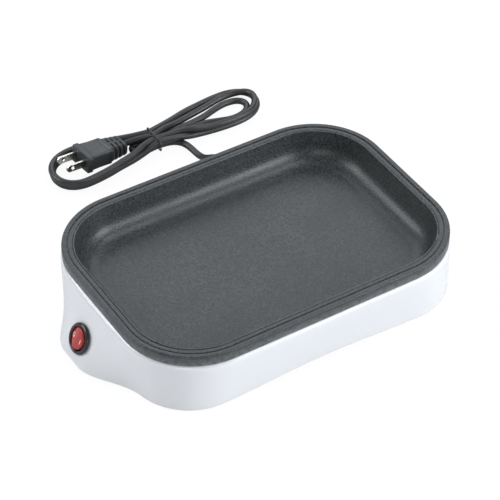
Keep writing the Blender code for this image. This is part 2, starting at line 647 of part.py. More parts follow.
def build_wiring(black, white, cap_mat):
    """Leads from the cord clamp to the switch and to the crimped joint beside the element's end."""
    live = [(0.045, 0.0720), (0.022, 0.0770), (-0.060, 0.0775), (-0.098, 0.0560), (-0.1190, 0.0340)]
    live += [(-0.1260, 0.0180), (-0.1285, 0.0072)]
    neutral = [(0.041, 0.0690), (0.014, 0.0728), (-0.060, 0.0730), (-0.096, 0.0520), (-0.1150, 0.0350)]
    neutral += [(-0.1170, 0.0280)]
    for name, route, mat in (("wire_live", live, black), ("wire_neutral", neutral, white)):
        points = smooth_points([(CENTRE_X + x, y, WIRE_Z) for x, y in route], 0.012)
        tube(name, points, WIRE_RADIUS, mat, 1)
    profile = [(0.0, 0.0), (0.0026, 0.0), (0.0026, 0.0080), (0.0020, 0.0100), (0.0, 0.0100)]
    cap = finish_mesh("crimp_cap", turned(profile, 14), cap_mat)
    cap.rotation_euler = (math.radians(90), 0.0, 0.0)
    cap.location = (CENTRE_X - 0.1170, 0.0280 - GAP, WIRE_Z)


# ---------------------------------------------------------------- cord, hank and plug
def build_cord(rubber, wire, steel):
    relief = [(0.0, -0.0060), (0.0050, -0.0060), (0.0050, 0.0012), (0.0062, 0.0012), (0.0062, 0.0030)]
    relief += [(0.0046, 0.0036)]
    for step in range(1, 5):
        low = 0.0036 + step * 0.0050
        wide = 0.0046 - step * 0.0003
        relief += [(wide - 0.0007, low - 0.0012), (wide - 0.0007, low), (wide - 0.0001, low + 0.0002)]
    relief += [(0.0031, RELIEF_LENGTH - 0.0004), (0.0, RELIEF_LENGTH - 0.0004)]
    bushing = finish_mesh("cord_strain_relief", turned(relief, 20), rubber)
    bushing.rotation_euler = (math.radians(-90), 0.0, 0.0)
    bushing.location = CORD_EXIT

    clamp = finish_mesh("cord_clamp", box_mesh(CLAMP_BLOCK, 0.0006, 1), steel)
    clamp_z = PLATE_Z + PLATE_THICKNESS + GAP + CLAMP_BLOCK[2] / 2
    clamp.location = (CORD_EXIT.x, CLAMP_BLOCK_Y, clamp_z)

    tube("power_cord", smooth_points(CORD_ROUTE, 0.0055), CORD_DIAMETER / 2, rubber, 3)
    build_hank(rubber)
    tie = [TIE_CENTRE + Vector((0.0, y, z)) for y, z in rounded_rectangle(*TIE_HALF, 3)]
    tube("cord_tie", tie, TIE_WIRE, wire, 1, cyclic=True)


def build_hank(mat):
    """The wound cord as one solid: its outer edge with the two open eyes."""
    outer = [(p.x, p.y) for p in smooth_points([(x, y, 0.0) for x, y in HANK_EDGE], 0.008, closed=True)]
    hank = finish_mesh("cord_hank", prism(outer, HANK_LOW, HANK_HIGH), mat)
    for name, eye in (("left_eye", HANK_LEFT_EYE), ("right_eye", HANK_RIGHT_EYE)):
        edge = [(p.x, p.y) for p in smooth_points([(x, y, 0.0) for x, y in eye], 0.006, closed=True)]
        boolean(hank, cutter(name, prism(edge, -0.01, 0.03)))


def prism(outline, low, high):
    return loft([[(x, y, low) for x, y in outline], [(x, y, high) for x, y in outline]])


def build_plug(rubber, brass):
    """Two-blade plug, its frame at the middle of the body: X towards the blades, Z up."""
    tilt = Matrix.Rotation(PLUG_TURN, 4, "Z") @ Matrix.Rotation(-PLUG_RISE, 4, "Y")
    frame = empty("plug_frame", matrix=Matrix.Translation(PLUG_CENTRE) @ tilt)
    length, width, height = PLUG_SIZE
    nose = length / 2
    rings = []
    for x, half_w, half_h in plug_sections(nose):
        radius = 0.0022 if x > -nose else min(half_w * width, half_h * height) * 0.8
        outline = rounded_rectangle(half_w * width, half_h * height, radius, 4)
        rings.append([(x, y, z) for y, z in outline])
    body = finish_mesh("plug_body", loft(rings), rubber)
    attach(body, frame)
    for number, sy in ((1, -1), (2, 1)):
        blade = finish_mesh(f"plug_blade_{number}", blade_mesh(), brass)
        attach(blade, frame)
        blade.location = (nose + GAP, sy * BLADE_SPACING / 2, 0.0)


def plug_sections(nose):
    """Places along the plug with its half width and half height there, as parts of the front plate's size."""
    sections = [(nose, 0.5, 0.5), (nose - PLUG_PLATE, 0.5, 0.5), (nose - PLUG_PLATE - 0.0002, 0.44, 0.455)]
    sections += [(0.0, 0.445, 0.45), (-nose + 0.002, 0.43, 0.44), (-nose, 0.39, 0.40)]
    for ridge in range(PLUG_RIDGES):
        place = -nose - 0.0010 - ridge * PLUG_RIDGE_PITCH
        wide = 0.385 - ridge * 0.023
        tall = 0.410 - ridge * 0.030
        sections += [(place, wide, tall), (place - 0.0018, wide, tall)]
        sections += [(place - 0.0019, wide - 0.04, tall - 0.05), (place - 0.0030, wide - 0.04, tall - 0.05)]
    return sections + [(-nose - 0.0180, 0.145, 0.225)]


def blade_mesh():
    """Flat blade on edge with a chamfered tip and the round detent hole near it."""
    length, thickness, width = BLADE
    angles = [2 * math.pi * k / 12 for k in range(12)]
    hole = [(BLADE_HOLE[0] + BLADE_HOLE[1] * math.cos(a), BLADE_HOLE[1] * math.sin(a)) for a in angles]
    tip = length - 0.0022
    edge = [(length, 0.0), (length, width * 0.3), (tip, width / 2), (0.0060, width / 2), (0.0, width / 2)]
    edge += [(0.0, 0.0), (0.0, -width / 2), (0.0060, -width / 2), (tip, -width / 2), (length, -width * 0.3)]
    bm = bmesh.new()
    faces = []
    for side in (-1, 1):
        outer = [bm.verts.new((x, side * thickness / 2, z)) for x, z in edge]
        inner = [bm.verts.new((x, side * thickness / 2, z)) for x, z in hole]
        edges = [bm.edges.new((outer[k], outer[(k + 1) % len(outer)])) for k in range(len(outer))]
        edges += [bm.edges.new((inner[k], inner[(k + 1) % len(inner)])) for k in range(len(inner))]
        bmesh.ops.triangle_fill(bm, use_beauty=True, use_dissolve=False, edges=edges)
        faces.append((outer, inner))
    for loop in (0, 1):
        first, second = faces[0][loop], faces[1][loop]
        for k in range(len(first)):
            n = (k + 1) % len(first)
            bm.faces.new((first[k], first[n], second[n], second[k]))
    return bm


def main():
    clear_scene()
    white = material("white_plastic", (0.86, 0.86, 0.87), 0.32)
    coating = material("non_stick_coating", (0.085, 0.095, 0.10), 0.62)
    black = material("black_plastic", (0.02, 0.02, 0.022), 0.35)
    red = material("red_lens", (0.62, 0.03, 0.02), 0.22)
    rubber = material("cord_rubber", (0.035, 0.036, 0.038), 0.5)
    foot_rubber = material("foot_rubber", (0.16, 0.16, 0.17), 0.75)
    steel = material("steel", (0.62, 0.62, 0.63), 0.35, 1.0)
    sheath = material("element_sheath", (0.30, 0.29, 0.28), 0.45, 1.0)
    ceramic = material("ceramic", (0.85, 0.83, 0.78), 0.5)
    brass = material("blade_metal", (0.75, 0.70, 0.58), 0.3, 1.0)
    white_wire = material("white_wire", (0.8, 0.8, 0.78), 0.5)
    tie_wire = material("tie_wire", (0.06, 0.06, 0.065), 0.4)
    lamp_glass = material("lamp_glass", (0.9, 0.45, 0.25), 0.1)

    build_body_shell(white)
    build_pan(coating)
    build_base_plate(steel)
    build_pod_cover(black)
    build_feet(foot_rubber)
    build_base_screws(steel)
    build_switch(black, red, brass, lamp_glass)
    build_element(sheath)
    build_terminals(ceramic, steel)
    build_tray(steel)
    build_clamps(steel)
    build_thermostat(black, ceramic)
    build_tray_spacers(steel)
    build_wiring(rubber, white_wire, white_wire)
    build_cord(rubber, tie_wire, steel)
    build_plug(rubber, brass)
    bpy.context.view_layer.update()


main()
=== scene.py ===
"""Looks of the small electric griddle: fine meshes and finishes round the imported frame.

Metres, +Z up.  The feet stand on z = 0, the long side lies along X, and the switch pod is on the -X end.
"""
import logging
import math
from dataclasses import dataclass
from enum import Enum
from typing import Callable, Sequence

import bmesh
import bpy
from mathutils import Matrix, Vector
from mathutils.kdtree import KDTree


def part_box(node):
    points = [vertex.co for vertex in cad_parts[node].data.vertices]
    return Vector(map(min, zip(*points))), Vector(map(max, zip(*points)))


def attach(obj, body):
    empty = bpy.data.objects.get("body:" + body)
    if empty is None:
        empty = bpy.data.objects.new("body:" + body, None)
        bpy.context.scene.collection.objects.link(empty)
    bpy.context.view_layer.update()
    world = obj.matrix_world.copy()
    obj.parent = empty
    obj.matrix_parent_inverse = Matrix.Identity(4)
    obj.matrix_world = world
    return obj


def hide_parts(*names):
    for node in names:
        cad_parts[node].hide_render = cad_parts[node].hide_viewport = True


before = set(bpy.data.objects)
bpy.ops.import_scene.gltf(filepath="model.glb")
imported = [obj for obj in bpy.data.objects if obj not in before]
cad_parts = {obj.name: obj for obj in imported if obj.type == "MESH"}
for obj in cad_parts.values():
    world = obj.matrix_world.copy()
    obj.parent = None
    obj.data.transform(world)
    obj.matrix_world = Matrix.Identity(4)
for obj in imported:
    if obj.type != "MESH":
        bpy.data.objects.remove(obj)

LOG = logging.getLogger("griddle")
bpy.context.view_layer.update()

Point = Sequence[float]
Mesh = bmesh.types.BMesh
Piece = bpy.types.Object
Material = bpy.types.Material
Tree = bpy.types.NodeTree
Socket = bpy.types.NodeSocket
MM = 0.001
BODY_CENTRE_X = sum(corner[0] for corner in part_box("pan")) / 2


class Body(str, Enum):
    """The bodies of the frame that pieces ride on."""

    BASE = "base"
    PAN = "pan"
    ROCKER = "rocker"


# ---------------------------------------------------------------- mesh helpers
def publish(name: str, mesh: Mesh, finish: Material, sharp: float = 40.0) -> Piece:
    """Turn a bmesh into an object of the scene.

    Args:
        name: The piece's name.
        mesh: Its geometry, which is freed.
        finish: The material of its only slot.
        sharp: Edge angle in degrees above which an edge stays crisp.

    Returns:
        The new object, at the origin.
    """
    bmesh.ops.recalc_face_normals(mesh, faces=mesh.faces)
    data = bpy.data.meshes.new(name)
    mesh.to_mesh(data)
    mesh.free()
    data.shade_smooth()
    data.set_sharp_from_angle(angle=math.radians(sharp))
    piece = bpy.data.objects.new(name, data)
    bpy.context.scene.collection.objects.link(piece)
    piece.data.materials.append(finish)
    return piece


def soften(piece: Piece, width: float, steps: int = 2) -> None:
    """Round the crisp edges of a piece with a bevel modifier of the given width."""
    bevel = piece.modifiers.new("softened_edges", "BEVEL")
    bevel.width = width
    bevel.segments = steps
    bevel.limit_method = "ANGLE"
    bevel.angle_limit = math.radians(35.0)
    bevel.harden_normals = False


def skin(rings: Sequence[Sequence[Point]], closed: bool = False) -> Mesh:
    """Join equal rings of points with faces.

    Args:
        rings: The rings, in order.
        closed: True joins the last ring to the first; otherwise both ends are capped.

    Returns:
        The skin as a bmesh.
    """
    mesh = bmesh.new()
    loops = [[mesh.verts.new(point) for point in ring] for ring in rings]
    pairs = list(zip(loops, loops[1:]))
    if closed:
        pairs.append((loops[-1], loops[0]))
    for lower, upper in pairs:
        count = len(lower)
        for i in range(count):
            j = (i + 1) % count
            mesh.faces.new((lower[i], lower[j], upper[j], upper[i]))
    if not closed:
        mesh.faces.new(list(reversed(loops[0])))
        mesh.faces.new(loops[-1])
    return mesh


def turned(profile: Sequence[Point], steps: int = 64) -> Mesh:
    """Solid of revolution about Z.

    Args:
        profile: (radius, height) points; a radius of zero closes that end.
        steps: Number of segments round the axis.

    Returns:
        The solid as a bmesh.
    """
    mesh = bmesh.new()
    loops = []
    for radius, height in profile:
        if radius < 1e-7:
            loops.append([mesh.verts.new((0.0, 0.0, height))])
            continue
        angles = [math.tau * k / steps for k in range(steps)]
        loops.append([mesh.verts.new((radius * math.cos(a), radius * math.sin(a), height)) for a in angles])
    pairs = list(zip(loops, loops[1:]))
    if len(loops[0]) > 1 and len(loops[-1]) > 1:
        pairs.append((loops[-1], loops[0]))
    for first, second in pairs:
        for k in range(steps):
            n = (k + 1) % steps
            corners = [first[k % len(first)], first[n % len(first)]]
            corners += [second[n % len(second)], second[k % len(second)]]
            mesh.faces.new(list(dict.fromkeys(corners)))
    return mesh


def rounded_rectangle(half_x: float, half_y: float, radius: float, arc: int = 16,
                      sides: tuple = (1, 1)) -> list:
    """Outline round the origin, anticlockwise from the +X side.

    Args:
        half_x: Half its length.
        half_y: Half its width.
        radius: Corner radius.
        arc: Steps in each corner.
        sides: Pieces that the straight runs along X and along Y are split into.

    Returns:
        The (x, y) points.
    """
    points: list[tuple[float, float]] = []
    corners = [(1, 1, 0), (-1, 1, 90), (-1, -1, 180), (1, -1, 270)]
    for number, (sx, sy, start) in enumerate(corners):
        centre = (sx * (half_x - radius), sy * (half_y - radius))
        for step in range(arc + 1):
            angle = math.radians(start + 90.0 * step / arc)
            points.append((centre[0] + radius * math.cos(angle), centre[1] + radius * math.sin(angle)))
        nsx, nsy, nstart = corners[(number + 1) % 4]
        angle = math.radians(nstart)
        end_x = nsx * (half_x - radius) + radius * math.cos(angle)
        end_y = nsy * (half_y - radius) + radius * math.sin(angle)
        begin = points[-1]
        pieces = sides[0] if number % 2 == 0 else sides[1]
        for step in range(1, pieces):
            t = step / pieces
            points.append((begin[0] + (end_x - begin[0]) * t, begin[1] + (end_y - begin[1]) * t))
    return points


def quarter(inset: float, height: float, radius: float, steps: int, rising: bool = False) -> list:
    """Points of a quarter arc from a wall into a floor, as (inset, height) pairs.

    Args:
        inset: Inset of the wall that the arc leaves.
        height: Height at which it leaves the wall.
        radius: Radius of the arc.
        steps: Steps along it.
        rising: True returns them from floor to wall.

    Returns:
        The points, without the first one on the wall.
    """
    arc = []
    for step in range(1, steps + 1):
        angle = math.radians(90.0 * step / steps)
        arc.append((inset + radius * (1 - math.cos(angle)), height - radius * math.sin(angle)))
    return list(reversed(arc)) if rising else arc


def smooth_route(points: Sequence[Point], spacing: float) -> list[Vector]:
    """Points at an even spacing along a Catmull-Rom curve through the given ones.

    Args:
        points: The route's own points.
        spacing: Wanted distance between the new points.

    Returns:
        The evenly spaced points.
    """
    route = [Vector(p) for p in points]
    count = len(route)
    dense: list[Vector] = []
    for span in range(count - 1):
        p1, p2 = route[span], route[span + 1]
        p0 = route[span - 1] if span else p1 * 2 - p2
        p3 = route[span + 2] if span + 2 < count else p2 * 2 - p1
        for step in range(16):
            t = step / 16
            cubic = (3 * p1 - p0 - 3 * p2 + p3) * t ** 3
            dense.append(0.5 * (2 * p1 + (p2 - p0) * t + (2 * p0 - 5 * p1 + 4 * p2 - p3) * t * t + cubic))
    dense.append(route[-1])
    lengths = [0.0]
    for a, b in zip(dense, dense[1:]):
        lengths.append(lengths[-1] + (b - a).length)
    pieces = max(2, round(lengths[-1] / spacing))
    result = []
    place = 0
    for k in range(pieces + 1):
        target = lengths[-1] * k / pieces
        while place < len(dense) - 2 and lengths[place + 1] < target:
            place += 1
        step_length = max(lengths[place + 1] - lengths[place], 1e-12)
        result.append(dense[place].lerp(dense[place + 1], min(1.0, (target - lengths[place]) / step_length)))
    return result


def rod(name: str, points: Sequence[Point], radius: float, finish: Material,
        sides: int = 6) -> Piece:
    """A round rod, wire or cord as a bevelled curve.

    Args:
        name: The piece's name.
        points: Its centre line.
        radius: Its radius.
        finish: Its material.
        sides: Bevel resolution of the curve.

    Returns:
        The curve object.
    """
    curve = bpy.data.curves.new(name, "CURVE")
    curve.dimensions = "3D"
    curve.bevel_depth = radius
    curve.bevel_resolution = sides
    curve.use_fill_caps = True
    spline = curve.splines.new("POLY")
    spline.points.add(len(points) - 1)
    for target, point in zip(spline.points, points):
        target.co = (*point, 1.0)
    spline.use_smooth = True
    piece = bpy.data.objects.new(name, curve)
    bpy.context.scene.collection.objects.link(piece)
    piece.data.materials.append(finish)
    return piece


def cut(piece: Piece, tool_mesh: Mesh, place: Matrix) -> None:
    """Cut a closed shape out of a piece for good.

    Args:
        piece: The piece to cut.
        tool_mesh: The shape to take away, which is freed.
        place: Where it stands.
    """
    bmesh.ops.recalc_face_normals(tool_mesh, faces=tool_mesh.faces)
    bmesh.ops.transform(tool_mesh, matrix=place, verts=tool_mesh.verts)
    data = bpy.data.meshes.new("cutting_tool")
    tool_mesh.to_mesh(data)
    tool_mesh.free()
    tool = bpy.data.objects.new("cutting_tool", data)
    bpy.context.scene.collection.objects.link(tool)
    difference = piece.modifiers.new("cut", "BOOLEAN")
    difference.object = tool
    difference.solver = "EXACT"
    depsgraph = bpy.context.evaluated_depsgraph_get()
    result = bpy.data.meshes.new_from_object(piece.evaluated_get(depsgraph))
    piece.modifiers.remove(difference)
    piece.data = result
    bpy.data.objects.remove(tool, do_unlink=True)


def add_piece(piece: Piece, body: Body, slot: str, *nodes: str) -> Piece:
    """Hand a finished piece to the frame.

    Args:
        piece: The piece.
        body: The body that it rides on.
        slot: The record's material slot that it takes; not used.
        nodes: CAD nodes that it stands for.

    Returns:
        The same piece.
    """
    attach(piece, body.value)
    if nodes:
        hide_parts(*nodes)
    LOG.info("%s rides on %s and replaces %s", piece.name, body.value, ", ".join(nodes) or "nothing")
    return piece


# ---------------------------------------------------------------- node helpers
def maths(tree: Tree, operation: str, first: Socket, second: "Socket | float") -> Socket:
    """Combine two values, the second a socket or a number, with a Math node."""
    node = tree.nodes.new("ShaderNodeMath")
    node.operation = operation
    tree.links.new(first, node.inputs[0])
    if isinstance(second, Socket):
        tree.links.new(second, node.inputs[1])
    else:
        node.inputs[1].default_value = second
    return node.outputs["Value"]


def remap(tree: Tree, value: Socket, source: tuple = (0.0, 1.0), target: tuple = (0.0, 1.0)) -> Socket:
    """Map a value from one range to another."""
    node = tree.nodes.new("ShaderNodeMapRange")
    node.inputs["From Min"].default_value, node.inputs["From Max"].default_value = source
    node.inputs["To Min"].default_value, node.inputs["To Max"].default_value = target
    tree.links.new(value, node.inputs["Value"])
    return node.outputs["Result"]


# ---------------------------------------------------------------- shared effects
class Effect(Enum):
    """The surface effects that several finishes share, each one a node group."""

    PEBBLE = "pebble_grain"
    MOTTLE = "soft_mottle"
    DRAWN = "drawn_lines"
    WEAR = "handling_marks"
    DUST = "settled_dust"
    EDGE_HIGHLIGHT = "painted_edge_highlight"


class EffectLibrary:
    """Builds each shared node group once and places it in materials."""

    def __init__(self) -> None:
        """Start with no group built."""
        self._built: dict[Effect, Tree] = {}

    def group(self, effect: Effect) -> Tree:
        """Return the node group of an effect, built on first use.

        Args:
            effect: The wanted effect.

        Returns:
            Its node tree.
        """
        if effect not in self._built:
            makers: dict[Effect, Callable[[], Tree]] = {
                Effect.PEBBLE: self._pebble,
                Effect.MOTTLE: self._mottle,
                Effect.DRAWN: self._drawn,
                Effect.WEAR: self._wear,
                Effect.DUST: self._dust,
                Effect.EDGE_HIGHLIGHT: self._painted_edge_highlight,
            }
            self._built[effect] = makers[effect]()
        return self._built[effect]

    @staticmethod
    def _new(effect: Effect, inputs: dict[str, float], outputs: Sequence[str]) -> tuple:
        """Make an empty group with float sockets.

        Args:
            effect: The effect that the group is for.
            inputs: Input names with their usual values.
            outputs: Output names.

        Returns:
            The tree, its input node, its output node and the object coordinates' socket.
        """
        tree = bpy.data.node_groups.new(effect.value, "ShaderNodeTree")
        for label, usual in inputs.items():
            socket = tree.interface.new_socket(name=label, in_out="INPUT", socket_type="NodeSocketFloat")
            socket.default_value = usual
        for label in outputs:
            tree.interface.new_socket(name=label, in_out="OUTPUT", socket_type="NodeSocketFloat")
        way_in = tree.nodes.new("NodeGroupInput")
        way_out = tree.nodes.new("NodeGroupOutput")
        place = tree.nodes.new("ShaderNodeTexCoord")
        return tree, way_in, way_out, place.outputs["Object"]

    def _noise(self, tree: Tree, place: Socket, scale: Socket,
               detail: float) -> Socket:
        """Add a noise texture read at a place and return its value."""
        noise = tree.nodes.new("ShaderNodeTexNoise")
        noise.inputs["Detail"].default_value = detail
        tree.links.new(place, noise.inputs["Vector"])
        tree.links.new(scale, noise.inputs["Scale"])
        return noise.outputs["Fac"]

    def _pebble(self) -> Tree:
        """Small rounded bumps with a speckle, as on a sprayed coating or a moulded grain."""
        tree, way_in, way_out, place = self._new(Effect.PEBBLE, {"Scale": 900.0}, ("Speckle", "Height"))
        cells = tree.nodes.new("ShaderNodeTexVoronoi")
        cells.feature = "SMOOTH_F1"
        cells.inputs["Smoothness"].default_value = 0.6
        tree.links.new(place, cells.inputs["Vector"])
        tree.links.new(way_in.outputs["Scale"], cells.inputs["Scale"])
        speckle = self._noise(tree, place, way_in.outputs["Scale"], 2.0)
        bumps = maths(tree, "SUBTRACT", speckle, cells.outputs["Distance"])
        tree.links.new(remap(tree, speckle, (0.34, 0.68)), way_out.inputs["Speckle"])
        tree.links.new(remap(tree, bumps, (-0.5, 0.5)), way_out.inputs["Height"])
        return tree

    def _mottle(self) -> Tree:
        """Wide soft patches, for the slow change of shade over a large face."""
        tree, way_in, way_out, place = self._new(Effect.MOTTLE, {"Scale": 30.0}, ("Patches",))
        patches = self._noise(tree, place, way_in.outputs["Scale"], 3.0)
        tree.links.new(remap(tree, patches, (0.3, 0.7)), way_out.inputs["Patches"])
        return tree

    def _drawn(self) -> Tree:
        """Fine parallel lines of rolled or drawn metal along X."""
        tree, way_in, way_out, place = self._new(Effect.DRAWN, {"Scale": 1200.0}, ("Lines",))
        stretch = tree.nodes.new("ShaderNodeMapping")
        stretch.inputs["Scale"].default_value = (0.03, 1.0, 1.0)
        tree.links.new(place, stretch.inputs["Vector"])
        lines = self._noise(tree, stretch.outputs["Vector"], way_in.outputs["Scale"], 2.0)
        tree.links.new(remap(tree, lines, (0.35, 0.65)), way_out.inputs["Lines"])
        return tree

    def _wear(self) -> Tree:
        """Sparse worn spots and hairline marks from handling."""
        tree, way_in, way_out, place = self._new(Effect.WEAR, {"Scale": 160.0}, ("Marks",))
        stretch = tree.nodes.new("ShaderNodeMapping")
        stretch.inputs["Rotation"].default_value = (0.3, 0.5, 0.9)
        stretch.inputs["Scale"].default_value = (0.25, 1.6, 1.0)
        tree.links.new(place, stretch.inputs["Vector"])
        streaks = self._noise(tree, stretch.outputs["Vector"], way_in.outputs["Scale"], 4.0)
        patches = self._noise(tree, place, way_in.outputs["Scale"], 1.0)
        both = maths(tree, "MULTIPLY", streaks, patches)
        tree.links.new(remap(tree, both, (0.30, 0.42)), way_out.inputs["Marks"])
        return tree

    def _dust(self) -> Tree:
        """A faint film that gathers on faces that look up."""
        tree, way_in, way_out, place = self._new(Effect.DUST, {"Scale": 400.0}, ("Film",))
        shape = tree.nodes.new("ShaderNodeNewGeometry")
        axes = tree.nodes.new("ShaderNodeSeparateXYZ")
        tree.links.new(shape.outputs["Normal"], axes.inputs["Vector"])
        upward = remap(tree, axes.outputs["Z"], (0.35, 1.0))
        grains = self._noise(tree, place, way_in.outputs["Scale"], 5.0)
        film = maths(tree, "MULTIPLY", upward, remap(tree, grains, (0.42, 0.72)))
        tree.links.new(film, way_out.inputs["Film"])
        return tree

    def _painted_edge_highlight(self) -> Tree:
        """Painted highlight: thin light lines along outward edges that stand in for light glinting on them, broken up
        a little.
        """
        tree, way_in, way_out, place = self._new(Effect.EDGE_HIGHLIGHT, {"Scale": 300.0}, ("Edges",))
        shape = tree.nodes.new("ShaderNodeNewGeometry")
        sharp = remap(tree, shape.outputs["Pointiness"], (0.53, 0.60))
        broken = remap(tree, self._noise(tree, place, way_in.outputs["Scale"], 3.0), (0.2, 0.6))
        tree.links.new(maths(tree, "MULTIPLY", sharp, broken), way_out.inputs["Edges"])
        return tree


# ---------------------------------------------------------------- finishes
@dataclass(frozen=True)
class Finish:
    """One finish of the griddle: its two shades, its gloss and the effects on it."""

    name: str
    shade: tuple[float, float, float]
    second_shade: tuple[float, float, float]
    roughness: tuple[float, float]
    metallic: float = 0.0
    coat: float = 0.0
    specular: float = 0.5
    surface: Effect = Effect.PEBBLE
    surface_scale: float = 1500.0
    relief: float = 0.00003
    relief_strength: float = 0.35
    mottle_scale: float = 28.0
    wear: float = 0.0
    # Strength of the painted highlight that lightens convex edges.
    edge: float = 0.0
    dust: float = 0.0
    transmission: float = 0.0
    subsurface: float = 0.0
    # Painted glow: emission in the finish's own shade, with no lamp lighting it.
    painted_glow: float = 0.0

    def build(self, effects: EffectLibrary) -> Material:
        """Make the material.

        Args:
            effects: The library that the shared groups come from.

        Returns:
            The finished material.
        """
        material = bpy.data.materials.new(self.name)
        material.use_nodes = True
        tree = material.node_tree
        shader = tree.nodes["Principled BSDF"]
        shader.inputs["Metallic"].default_value = self.metallic
        shader.inputs["Coat Weight"].default_value = self.coat
        shader.inputs["Coat Roughness"].default_value = 0.12
        shader.inputs["Specular IOR Level"].default_value = self.specular
        shader.inputs["Transmission Weight"].default_value = self.transmission
        shader.inputs["Subsurface Weight"].default_value = self.subsurface
        shader.inputs["Subsurface Scale"].default_value = 0.002
        # Painted glow: the finish emits its own shade to look brighter, though no lamp lights it.
        if self.painted_glow > 0.0:
            shader.inputs["Emission Color"].default_value = (*self.shade, 1.0)
            shader.inputs["Emission Strength"].default_value = self.painted_glow

        surface = self._place(tree, effects, self.surface, self.surface_scale)
        mottle = self._place(tree, effects, Effect.MOTTLE, self.mottle_scale).outputs["Patches"]
        if self.surface is Effect.DRAWN:
            speckle = height = surface.outputs["Lines"]
        else:
            speckle = surface.outputs["Speckle"]
            height = surface.outputs["Height"]

        shade = self._blend(tree, speckle, (*self.shade, 1.0), (*self.second_shade, 1.0))
        deep = tuple(0.5 * (a + b) * 0.93 for a, b in zip(self.shade, self.second_shade))
        shade = self._blend(tree, maths(tree, "MULTIPLY", mottle, 0.45), shade, (*deep, 1.0))
        mean = maths(tree, "MULTIPLY", maths(tree, "ADD", speckle, mottle), 0.5)
        gloss = remap(tree, mean, target=self.roughness)
        if self.wear > 0.0:
            marks = self._mask(tree, effects, Effect.WEAR, 160.0, self.wear)
            light = tuple(min(1.0, c * 1.5 + 0.02) for c in self.second_shade)
            shade = self._blend(tree, marks, shade, (*light, 1.0))
            gloss = maths(tree, "ADD", gloss, maths(tree, "MULTIPLY", marks, 0.25))
        # Painted highlight: convex edges are lightened in the base colour to stand in for light glinting on them.
        if self.edge > 0.0:
            painted_highlight = self._mask(tree, effects, Effect.EDGE_HIGHLIGHT, 300.0, self.edge)
            shade = self._blend(tree, painted_highlight, shade, (0.30, 0.31, 0.32, 1.0))
        if self.dust > 0.0:
            film = self._mask(tree, effects, Effect.DUST, 420.0, self.dust)
            shade = self._blend(tree, film, shade, (0.45, 0.44, 0.42, 1.0))
        tree.links.new(shade, shader.inputs["Base Color"])
        tree.links.new(gloss, shader.inputs["Roughness"])

        bump = tree.nodes.new("ShaderNodeBump")
        bump.inputs["Strength"].default_value = self.relief_strength
        bump.inputs["Distance"].default_value = self.relief
        tree.links.new(height, bump.inputs["Height"])
        tree.links.new(bump.outputs["Normal"], shader.inputs["Normal"])
        return material

    @staticmethod
    def _place(tree: Tree, effects: EffectLibrary, effect: Effect, scale: float) -> bpy.types.Node:
        """Put an effect's group in the material with its own scale."""
        node = tree.nodes.new("ShaderNodeGroup")
        node.node_tree = effects.group(effect)
        node.inputs["Scale"].default_value = scale
        return node

    def _mask(self, tree: Tree, effects: EffectLibrary, effect: Effect, scale: float,
              strength: float) -> Socket:
        """Place a masking effect and return its only output times a strength."""
        return maths(tree, "MULTIPLY", self._place(tree, effects, effect, scale).outputs[0], strength)

    @staticmethod
    def _blend(tree: Tree, mask: Socket, first: object,
               second: object) -> Socket:
        """Mix two colours, each a socket or four numbers, by a mask."""
        mix = tree.nodes.new("ShaderNodeMix")
        mix.data_type = "RGBA"
        tree.links.new(mask, mix.inputs[0])
        for socket, value in ((mix.inputs[6], first), (mix.inputs[7], second)):
            if isinstance(value, Socket):
                tree.links.new(value, socket)
            else:
                socket.default_value = value
        return mix.outputs[2]


